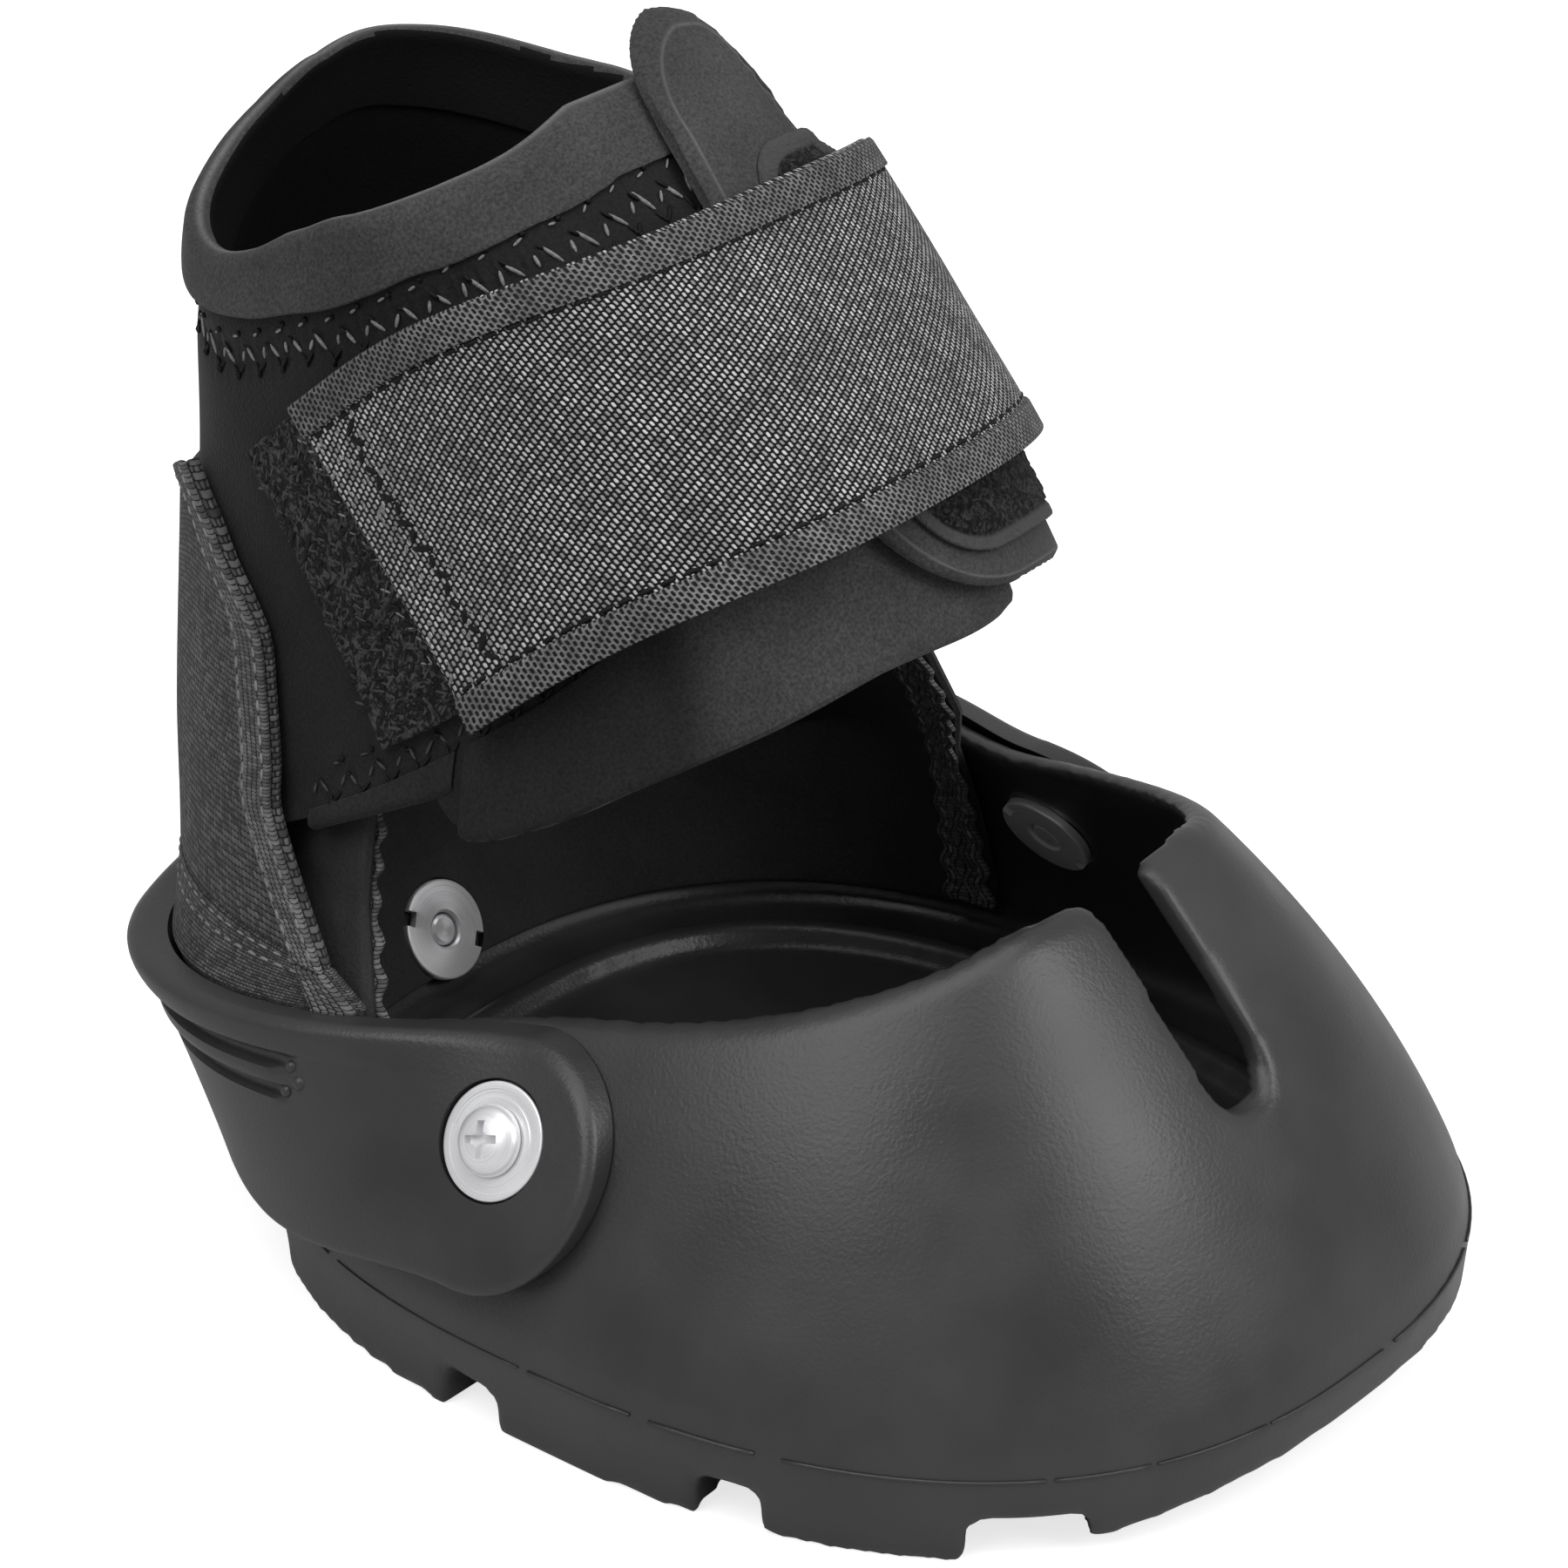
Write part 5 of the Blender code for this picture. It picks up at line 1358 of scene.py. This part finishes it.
def cuff_relief(angle, height):
    """How far the cuff's outer face stands out: soft waves, drawn in along the stitched rows."""
    out = CUFF_WAVES*noise.noise(gaiter_point(angle, height)*45.0)
    drawn_in = ROW_DRAWN_IN + ROW_PUCKER*math.cos(math.radians(angle)*180)
    for row in (top_row(angle), foot_row(angle)):
        away = (height - row)/ROW_HALF
        out -= drawn_in*math.exp(-away*away)
    return out


def core(inward):
    """Thickness of the cuff at a distance in from its edge, where the folded bands press it thin."""
    return mix(EDGE_CORE, CUFF_THICKNESS, ease(0.0, CORE_REACH, inward))


def make_cuff():
    """Neoprene tube round the pastern, open down the front under the tab, its inner face painted darker as
    shade.
    """
    def place(u, v, outer):
        angle = mix(CUFF_OPEN_END, CUFF_OPEN_START + 360, u)
        low = cuff_foot(angle) + HEM_RISE
        high = cuff_top(angle) - HEM_RISE
        height = mix(low, high, v)
        out = cuff_relief(angle, height) if outer else -core(min(height - low, high - height))
        return gaiter_point(angle, height, out + cuff_bell(angle, height))

    work = slab(280, 60, lambda u, v: place(u, v, False), lambda u, v: place(u, v, True))
    # The inner faces take the second material, painted dark as shade.
    paint(work, lambda face: not any(vert.tag for vert in face.verts))
    add_piece("cuff_body", work, (NEOPRENE, SHADED_INSIDE), "gaiter", ("cuff",))


def hem(start, end, columns, edge, drop, way, inside=BAND_INSIDE, flare=None):
    """Band folded over an edge of the cuff: way is 1 over its top and -1 under its foot."""
    fold = math.pi*HEM_RADIUS

    def split(u, v):
        """Angle of a place, the band's width outside the fold, and the way over the band to the place."""
        angle = mix(start, end, u)
        outside = drop(angle) - HEM_RISE
        return angle, outside, v*(outside + fold + inside)

    def place(u, v, lift=0.0):
        angle, outside, s = split(u, v)
        over = s - outside - fold
        if s < outside:
            out = BAND_GAP + lift
            inward = outside - s
        elif over < 0:
            a = (s - outside)/HEM_RADIUS
            out = -EDGE_CORE/2 + (HEM_RADIUS + lift)*math.cos(a)
            inward = -(HEM_RADIUS + lift)*math.sin(a)
        else:
            out = -core(over) - BAND_GAP - lift
            inward = over
        height = edge(angle) - way*(HEM_RISE + inward)
        out += cuff_relief(angle, height)*(1 - ease(outside, outside + fold, s))
        out += cuff_bell(angle, height)
        if flare and s < outside:
            out += flare(angle)*math.exp(-(s/BAND_FLARE_REACH)**2)
        return gaiter_point(angle, height, out)

    def from_fold(u, v):
        """How far a place lies past the fold, negative on the outer side."""
        _, outside, s = split(u, v)
        return s - outside - fold/2

    long, wide = sheet_size(place, 0.3)

    def soft(u, v):
        return rolled(to_edge(u, v, long, wide), BAND_THICKNESS*0.45)

    def upper(u, v):
        return place(u, v, BAND_THICKNESS - soft(u, v))

    work = slab(columns, 64, lambda u, v: place(u, v, soft(u, v)), upper, spread=(even, part_crowded),
                depth=from_fold)
    layer_of = work.verts.layers.float["edge"]
    # Faces past the fold, inside the cuff, take the second material, painted dark as shade.
    paint(work, lambda face: min(vert[layer_of] for vert in face.verts) > BAND_THICKNESS)
    return work


def make_cuff_bands():
    """Bands folded over the cuff's top and foot, and the stitched rows that hold them."""
    def top_drop(angle):
        return smooth_table(TOP_BAND_DROPS, folded(angle))

    def flare(angle):
        return BAND_FLARE*math.exp(-((folded(angle) - 112)/26)**2)

    work = hem(CUFF_OPEN_END, CUFF_OPEN_START + 360, 240, cuff_top, top_drop, 1, flare=flare)
    add_piece("cuff_top_band", work, (BAND, SHADED_INSIDE), "gaiter", ("cuff_top_binding",))

    def drop_over(foot):
        return lambda angle: foot_row(angle) - ROW_MARGIN - foot(angle)

    for side, node in ((1, "cuff_foot_binding_left"), (-1, "cuff_foot_binding_right")):
        near = CUFF_OPEN_END if side > 0 else -CUFF_OPEN_START
        work = hem(side*near, side*FLAP_CORNER_ANGLE, 90, cuff_foot, drop_over(cuff_foot), -1)
        # The flap band is darkened toward its corner with painted shadow from the strap.
        add_piece(node + "_flap", work, (SHADED_FLAP_BAND, SHADED_INSIDE), "gaiter", (node,))
        work = hem(side*(FLAP_CORNER_ANGLE + 1.5), side*FOOT_BAND_ANGLE, 36, plain_foot,
                   drop_over(plain_foot), -1, inside=BAND_END_INSIDE)
        # The band end is painted darker as shade below the strap.
        add_piece(node + "_end", work, (SHADED_END_BAND, SHADED_INSIDE), "gaiter")

    def row_line(start, end, row):
        def line(share, across, out):
            angle = mix(start, end, share)
            height = row(angle) + across
            face = cuff_relief(angle, height) + cuff_bell(angle, height)
            return gaiter_point(angle, height, face + 0.0002 + out)

        return line

    dark = bmesh.new()
    light = bmesh.new()
    zigzag_row(light, dark, row_line(CUFF_OPEN_END + 1, CUFF_OPEN_START + 359, top_row))
    add_threads("cuff_zigzag_rows", light, LIGHT_THREAD, "gaiter")
    dull = bmesh.new()
    for start, end in ((-FOOT_BAND_ANGLE, -CUFF_OPEN_START - 1), (CUFF_OPEN_END + 1, FOOT_BAND_ANGLE)):
        zigzag_row(dull, dark, row_line(start, end, foot_row), fade=0.8)
    add_threads("flap_zigzag_rows", dull, GREY_THREAD, "gaiter")
    # Dark thread, with grains of painted shade at the needle holes and beside a stroke.
    add_threads("cuff_dark_stitches_and_painted_shade", dark, THREAD, "gaiter")


# Back panel, heel panel and lining


def panel_point(across, share, out):
    """Point of the back panel: across runs from -1 to 1, share from its foot to its top."""
    angle = across*PANEL_HALF_ANGLE*smooth_table(PANEL_EDGES, share)
    top = mix(PANEL_TOP_BACK, PANEL_TOP, ease(*PANEL_DIP, abs(angle)))
    return gaiter_point(180 + angle, mix(SEAM_HEIGHT + FIT, top, share), out)


def strip_along(point, side, width, u, v, out):
    """Place on a tape of a real width that follows a panel's edge: point(across, u, out)."""
    edge = point(side, u, out)
    middle = point(0.0, u, out)
    share = min(width/max((edge - middle).length, width), 0.9)
    return point(side*(1 - share*v), u, out)


def make_back_panel():
    """Tongue of coarse cloth up the back of the cuff, with a stitched tape along each edge."""
    work = layer(lambda u, v, out: panel_point(2*u - 1, v, out), PANEL_FIT, PANEL_THICKNESS, 110, 44)
    panel = add_piece("back_panel_cloth", work, NYLON, "gaiter", ("back_panel",))
    rows = bmesh.new()
    base = PANEL_FIT + PANEL_THICKNESS + FIT/3
    for side, name in ((1, "right"), (-1, "left")):
        def tape(u, v, out, side=side):
            return strip_along(panel_point, side, PANEL_TAPE, u, v, out)

        work = layer(tape, base, BINDING_THICKNESS, 90, 10)
        add_piece(f"panel_tape_{name}", work, TAPE, "gaiter", (f"panel_binding_{name}",))
        stitch_tape(rows, tape, (0.16, 0.84), base + BINDING_THICKNESS, 0.0021, 0.68, 0.00024, wander=0.08)
    add_threads("panel_tape_stitches", rows, LIGHT_THREAD, "gaiter")


def heel_panel_point(u, v, out):
    """Point of the heel panel: its foot tucked behind the cradle's lip, its top at the cuff's seam."""
    low_angle = 180 + (2*u - 1)*HEEL_PANEL_HALF_ANGLE
    high_angle = 180 + (2*u - 1)*PANEL_HALF_ANGLE
    inside = out - PANEL_FIT - PANEL_THICKNESS - FIT
    foot = max(cradle_top(low_angle) - HEEL_PANEL_TUCK, rim_height(low_angle) + 2*FIT)
    low = wall_point(low_angle, foot, inside)
    lip = wall_point(low_angle, max(cradle_top(low_angle) + FIT, foot + FIT), inside)
    high = gaiter_point(high_angle, SEAM_HEIGHT + FIT, out)
    if v < 0.4:
        return low.lerp(lip, v/0.4)
    return lip.lerp(high, (v - 0.4)/0.6)


def make_heel_panel():
    """Coarse cloth from the shell's heel to the cuff's seam, which bends as the gaiter folds."""
    face = PANEL_FIT + PANEL_THICKNESS
    work = layer(heel_panel_point, PANEL_FIT, PANEL_THICKNESS, 110, 30)
    panel = add_piece("heel_panel_cloth", work, NYLON, None, ("heel_panel",))
    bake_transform(panel, "boot", "gaiter", (0.0, 0.060, SEAM_HEIGHT - 0.006), (0.0, 0.060, SEAM_HEIGHT))
    rows = bmesh.new()
    stitch_tape(rows, heel_panel_point, (0.80, 0.93), face, 0.0024, 0.66, 0.00022)
    add_threads("heel_seam_stitches", rows, LIGHT_THREAD, "boot")

    for side, name in ((1.0, "left"), (0.0, "right")):
        def tape(u, v, out, side=side):
            wide = PANEL_TAPE/HEEL_PANEL_LENGTH*v
            return heel_panel_point(1 - wide if side else wide, 0.12 + 0.86*u, out)

        work = layer(tape, face + FIT/3, BINDING_THICKNESS, 30, 10)
        add_piece(f"heel_panel_tape_{name}", work, TAPE, "boot")


def lining_point(u, v, out):
    """Point of the lining: up the inside of the wall, over to the cuff, and up inside the cuff."""
    low_angle = mix(180 - LINING_LEFT_ANGLE, 180 + LINING_RIGHT_ANGLE, u)
    high_angle = mix(180 - LINING_TOP_LEFT_ANGLE, 180 + LINING_TOP_RIGHT_ANGLE, u)
    inside = out - WALL - LINING_GAP/2
    bend = rim_height(low_angle) - 0.0008
    leave = wall_point(low_angle, bend, inside)
    if v <= 0.5:
        return wall_point(low_angle, mix(LINING_FOOT, bend, 2*v), inside)
    in_cuff = out - CUFF_THICKNESS - LINING_GAP
    meet = gaiter_point(high_angle, SEAM_HEIGHT + CUFF_FOOT_CLEARANCE, in_cuff)
    top = gaiter_point(high_angle, LINING_TOP, in_cuff)
    if v <= 0.75:
        return leave.lerp(meet, 4*v - 2)
    return meet.lerp(top, 4*v - 3)


def make_lining():
    """Lining of the heel, with a wavy tape along each of its upright edges."""
    work = layer(lining_point, -LINING_THICKNESS, LINING_THICKNESS, 130, 50)
    lining = add_piece("lining_cloth_piece", work, LINING, "boot", ("heel_lining",))
    matrix, level = bolt_frame(180.0, HEEL_BOLT_HEIGHT)
    cut_away(lining, nut_cutters(matrix, *bolt_seats(level, FIT + LINING_THICKNESS)))
    rows = bmesh.new()
    under = -LINING_THICKNESS - FIT/3 - BINDING_THICKNESS
    for side, name in ((0.0, "left"), (1.0, "right")):
        def tape(u, v, out, side=side):
            wave = 0.0004*math.sin(2*math.pi*u*11)
            wide = (LINING_TAPE*v + wave*(1 if v > 0.5 else -1))/LINING_LENGTH
            return lining_point(1 - wide if side else wide, 0.03 + 0.95*u, out)

        work = layer(tape, under, BINDING_THICKNESS, 80, 12)
        add_piece(f"lining_tape_{name}", work, TAPE, "boot")
        stitch_tape(rows, tape, (0.2, 0.8), under, 0.0024, 0.6, 0.00022, way=-1)
    add_threads("lining_tape_stitches", rows, LIGHT_THREAD, "boot")


# Closing tab, loop patch and strap


def tab_spread(from_edge, corner, tall):
    """How far a round corner draws the tab's edge in, at a distance from its free end."""
    if from_edge >= corner:
        return 0.0
    return min(corner - math.sqrt(corner**2 - (corner - max(from_edge, 0.0))**2), 0.45*tall)


def tab_place(inset, top_level, top_inset, foot_corner, top_corner):
    """Place function of the tab or of what lies on it, and its distance in from the outline."""
    free_angle = (TAB_FREE_FOOT_ANGLE + TAB_FREE_TOP_ANGLE)/2
    reach = gaiter_point(free_angle, TAB_MEASURE_LEVEL) - gaiter_point(TAB_SEWN_ANGLE, TAB_MEASURE_LEVEL)
    per_degree = reach.length/(TAB_SEWN_ANGLE - free_angle)
    tall = top_level - TAB_FOOT_LEVEL - inset

    def levels(u, v):
        """Angle at shares along and up the tab, and the levels of its lower and upper edge there."""
        share = 1 - math.cos(u*math.pi/2) if u < 1 else 1.0
        free = mix(TAB_FREE_FOOT_ANGLE, TAB_FREE_TOP_ANGLE, v)
        angle = mix(free + inset/per_degree, TAB_SEWN_ANGLE - inset/per_degree/3, share)
        from_edge = (angle - free)*per_degree - inset
        shoulder = TAB_TOP_LEVEL - smooth_table(TAB_TOP_FALLS, angle) - top_inset
        top = min(top_level - tab_spread(from_edge, top_corner, tall), shoulder)
        return angle, TAB_FOOT_LEVEL + inset + tab_spread(from_edge, foot_corner, tall), top

    def flat(u, v):
        """Place on the tab laid flat."""
        angle, low, high = levels(u, v)
        return angle*per_degree, mix(low, high, v), 0.0

    shares = [k/160 for k in range(161)]
    outline = [(share, v) for v in (0.0, 1.0) for share in shares]
    outline += [(u, share) for u in (0.0, 1.0) for share in shares]
    edges = kdtree.KDTree(len(outline))
    for k, (u, v) in enumerate(outline):
        edges.insert(flat(u, v), k)
    edges.balance()

    def place(u, v, out):
        angle, low, high = levels(u, v)
        at = round(angle, 5)
        low, high = (height_on_plane(at, STRAP_ANGLE, round(level, 7)) for level in (low, high))
        return gaiter_point(angle, mix(low, high, v), out)

    return place, lambda u, v: edges.find(flat(u, v))[2]


def make_tab():
    """Tab that laps over the cuff's opening, and the loop patch sewn on it."""
    place, depth = tab_place(0.0, TAB_TOP_LEVEL, 0.0, TAB_FOOT_CORNER, TAB_TOP_CORNER)
    base = FIT + BINDING_THICKNESS + FIT

    def outer(u, v):
        edge = depth(u, v)
        chamfer = TAB_CHAMFER_DROP*max(1 - edge/TAB_CHAMFER, 0.0)
        return place(u, v, base + TAB_THICKNESS - rolled(edge, 0.0006) - chamfer)

    work = slab(130, 80, lambda u, v: place(u, v, base + rolled(depth(u, v), 0.0008)), outer,
                spread=(even, crowded), depth=depth)
    add_piece("tab_body", work, TAB_KNIT, "tab", ("closing_tab",))

    patch, patch_depth = tab_place(LOOP_INSET, LOOP_TOP_LEVEL, LOOP_TOP_INSET, LOOP_FOOT_CORNER,
                                   LOOP_TOP_CORNER)
    over = base + TAB_THICKNESS + FIT/3

    def patch_outer(u, v):
        """Face of the patch, with a sewn groove round its border and rough pile inside that."""
        edge = patch_depth(u, v)
        groove = 0.0003*math.exp(-((edge - LOOP_BORDER)/0.0003)**2)
        out = over + LOOP_THICKNESS - rolled(edge, 0.0006) - groove
        pile = 0.0005*ease(LOOP_BORDER, LOOP_BORDER + 0.0007, edge)*noise.noise(patch(u, v, out)*1400)
        return patch(u, v, out + pile)

    work = slab(110, 90, lambda u, v: patch(u, v, over + rolled(patch_depth(u, v), 0.0004)), patch_outer,
                spread=(even, crowded), depth=patch_depth)
    add_piece("loop_patch_pile", work, LOOP, "tab", ("loop_patch",), sharp=80.0)


def strap_lift(angle):
    """Offset of the strap's inner face: on the cuff's bands at the side, over tab and patches in front."""
    side = FIT + BINDING_THICKNESS + FIT
    front = side + TAB_THICKNESS + FIT + LOOP_THICKNESS + FIT + HOOK_THICKNESS + FIT
    return mix(side, front, ease(STRAP_SEWN_TOP_ANGLE, STRAP_TAUT_ANGLE, angle))


def strap_place(u, v, out):
    """Point of the strap: u runs from its sewn end to its free end, v across it."""
    start = mix(STRAP_SEWN_FOOT_ANGLE, STRAP_SEWN_TOP_ANGLE, v)
    angle = round(mix(start, STRAP_FREE_ANGLE, u), 5)
    foot = mix(STRAP_FOOT_SEWN, STRAP_FOOT_FREE, u)
    top = mix(STRAP_TOP_SEWN, STRAP_TOP_FREE, u)
    height = height_on_plane(angle, STRAP_ANGLE, round(mix(foot, top, v), 7))
    return gaiter_point(angle, height, strap_lift(angle) + out)


def make_strap():
    """Twill strap with a ribbed binding along each edge, its stitching and the hook patch inside."""
    def relief(x, y):
        return 0.00015*noise.noise(Vector((x*60, y*90, 0.0)))

    def face(u, v, out=0.0):
        return strap_place(u, v, STRAP_THICKNESS + out)

    work = layer(strap_place, 0.0, STRAP_THICKNESS, 130, 34, relief=relief)
    add_piece("strap_twill_web", work, TWILL, "strap_end", ("strap",))
    wide = STRAP_TOP_SEWN - STRAP_FOOT_SEWN
    long = reach_along(lambda s: strap_place(s, 0.5, 0.0))
    share = STRAP_BINDING/wide
    dark = bmesh.new()
    for node, start, end, row in (("strap_binding_foot", -0.006, share, share + STRAP_ROW_INSET),
                                  ("strap_binding_top", 1 - share, 1.006, 1 - share - STRAP_ROW_INSET)):
        def edge(u, v, out, start=start, end=end):
            return strap_place(u, mix(start, end, v), out)

        work = layer(edge, STRAP_THICKNESS - STRAP_BINDING_SINK,
                     STRAP_BINDING_THICKNESS + STRAP_BINDING_SINK, 170, 10, spread=(even, crowded))
        add_piece(node + "_tape", work, RIBBED, "strap_end", (node,))
        stitch_row(dark, lambda s, out: face(s, row, out), 0.0027, 0.72, 0.00036, 0.01, 0.985, wander=0.06)
    for k in range(SEAM_STITCHES):
        shares = [mix(0.12, 0.88, (k + step)/SEAM_STITCHES) for step in (0.1, 0.9)]
        slant = ((1, -1), (-1, 1))[k % 2]
        sides = [(SEAM_REACH + way*0.0007 + seeded.gauss(0.0, 0.0004))/long for way in slant]
        ends = [face(u, v) for u, v in zip(sides, shares)]
        bead(dark, *ends, face(sides[0], shares[0], 0.001) - ends[0], 0.00046)
    add_threads("strap_dark_stitches", dark, THREAD, "strap_end")

    flecks = bmesh.new()
    for _ in range(SEAM_THREADS):
        column = seeded.choice((0.0014, 0.0030, SEAM_REACH - 0.0012, SEAM_REACH + 0.0012))
        u = max(column + seeded.gauss(0.0, 0.0007), 0.0008)/long
        v = seeded.uniform(0.09, 0.91)
        here = face(u, v)
        turn = face(u + seeded.uniform(-0.004, 0.004), v + seeded.uniform(0.008, 0.022))
        bead(flecks, here, turn, face(u, v, 0.001) - here, seeded.uniform(0.00016, 0.00028))
    add_threads("strap_seam_threads", flecks, LIGHT_THREAD, "strap_end")

    def hook_place(u, v, out):
        start = mix(STRAP_SEWN_FOOT_ANGLE, STRAP_SEWN_TOP_ANGLE, 0.5)
        from_share = (HOOK_START_ANGLE - start)/(STRAP_FREE_ANGLE - start)
        to_share = 1 - (1 - from_share)/12
        inset = HOOK_INSET/wide
        return strap_place(mix(from_share, to_share, u), mix(inset, 1 - inset, v), out)

    work = layer(hook_place, -FIT/2 - HOOK_THICKNESS, HOOK_THICKNESS, 60, 30)
    add_piece("hook_patch_tape", work, HOOK, "strap_end", ("hook_patch",))


def make_anchor():
    """Tape under the strap's sewn end, covered by the threads that hold it."""
    def place(u, v, out):
        edge = mix(STRAP_SEWN_FOOT_ANGLE, STRAP_SEWN_TOP_ANGLE, v)
        angle = mix(edge - ANCHOR_REACH_ANGLE, edge + ANCHOR_TUCK_ANGLE, u)
        low = max(height_on_plane(angle, STRAP_ANGLE, STRAP_FOOT_SEWN), foot_row(angle) + ROW_MARGIN)
        high = height_on_plane(angle, STRAP_ANGLE, STRAP_TOP_SEWN)
        return gaiter_point(angle, mix(low, high, v), out)

    def relief(x, y):
        return 0.0003*noise.noise(Vector((x*900, y*900, 0.0)))

    work = layer(place, FIT, ANCHOR_THICKNESS, 60, 90, relief=relief, spread=(part_crowded, part_crowded))
    add_piece("anchor_tape", work, ANCHOR, "gaiter", ("strap_anchor",), sharp=80.0)
    face = FIT + ANCHOR_THICKNESS
    for name, count, material, thick, least in (("anchor_light_threads", 70, LIGHT_THREAD, 0.00019, 0.44),
                                                ("anchor_grey_threads", 260, GREY_THREAD, 0.00021, 0.03),
                                                ("anchor_dark_threads", 160, THREAD, 0.00034, 0.03)):
        work = bmesh.new()
        for _ in range(count):
            u = seeded.uniform(least, 0.58)
            v = seeded.uniform(0.02, 0.97)
            here = place(u, v, face)
            turn = place(u + seeded.uniform(-0.07, 0.07), v + seeded.uniform(0.012, 0.030), face)
            up = place(u, v, face + ANCHOR_THICKNESS) - here
            bead(work, here, turn, up, thick*seeded.uniform(0.7, 1.1))
        add_threads(name, work, material, "gaiter")


# Stage, lights and camera


def toward(azimuth, elevation):
    """Direction from the boot at an azimuth from the toe and an elevation."""
    a = math.radians(azimuth)
    e = math.radians(elevation)
    return Vector((math.sin(a)*math.cos(e), -math.cos(a)*math.cos(e), math.sin(e)))


def camera_ray(tree):
    """1 where the camera itself looks at a surface, and 0 in its light and reflections."""
    return tree.nodes.new('ShaderNodeLightPath').outputs['Is Camera Ray']


def make_stage():
    """White floor that shows the boot's own shadow, under a white sky."""
    work = bmesh.new()
    bmesh.ops.create_circle(work, cap_ends=True, segments=64, radius=4.0)
    floor = linked("floor", mesh_of("floor", work))
    material, tree, shader = plain_material("white_floor", 1.0)
    shader.inputs["Base Color"].default_value = (0.62, 0.62, 0.62, 1.0)
    shader.inputs["Emission Color"].default_value = (1.0, 1.0, 1.0, 1.0)
    tree.links.new(times(tree, camera_ray(tree), 0.74), shader.inputs["Emission Strength"])
    floor.data.materials.append(material)

    world = bpy.data.worlds.new("white_room")
    world.use_nodes = True
    bpy.context.scene.world = world
    tree = world.node_tree
    sky = tree.nodes["Background"]
    sky.inputs["Color"].default_value = (1.0, 1.0, 1.0, 1.0)
    tree.links.new(ramp_node(tree, camera_ray(tree), 0.0, 1.0, 0.40, 1.0), sky.inputs["Strength"])


def make_lamp(name, azimuth, elevation, distance, size, power):
    """Soft square lamp that faces the boot from an azimuth and elevation."""
    lamp = bpy.data.lights.new(name, 'AREA')
    lamp.shape = 'SQUARE'
    lamp.size = size
    lamp.energy = power
    item = linked(name, lamp)
    away = toward(azimuth, elevation)
    item.location = Vector((0.0, 0.0, 0.05)) + away*distance
    item.rotation_euler = away.to_track_quat('Z', 'Y').to_euler()


def make_camera():
    """Camera of the photograph's view, at a place across, up and back from the drawing frame's origin."""
    back = toward(VIEW_AZIMUTH, VIEW_ELEVATION)
    turn = math.radians(VIEW_AZIMUTH)
    right = Vector((math.cos(turn), math.sin(turn), 0.0))
    up = back.cross(right)
    camera = linked("camera", bpy.data.cameras.new("camera"))
    spot = right*VIEW_ACROSS + up*VIEW_UP + back*VIEW_DISTANCE + Vector((0.0, SHIFT, 0.0))
    camera.matrix_world = Matrix.Translation(spot) @ Matrix((right, up, back)).transposed().to_4x4()
    camera.data.sensor_width = 36.0
    camera.data.lens = VIEW_LENS
    bpy.context.scene.camera = camera
    bpy.context.scene.view_settings.view_transform = 'Standard'


make_shell()
make_parting_line()
make_cradle()
make_fasteners()
make_lining()
make_heel_panel()
make_cuff()
make_cuff_bands()
make_back_panel()
make_anchor()
make_tab()
make_strap()
make_stage()
make_lamp("key", -95, 48, 0.95, 0.55, 2.5)
make_lamp("fill", 15, 38, 1.05, 0.60, 4.3)
make_lamp("top", -50, 82, 1.00, 0.80, 3.5)
make_camera()
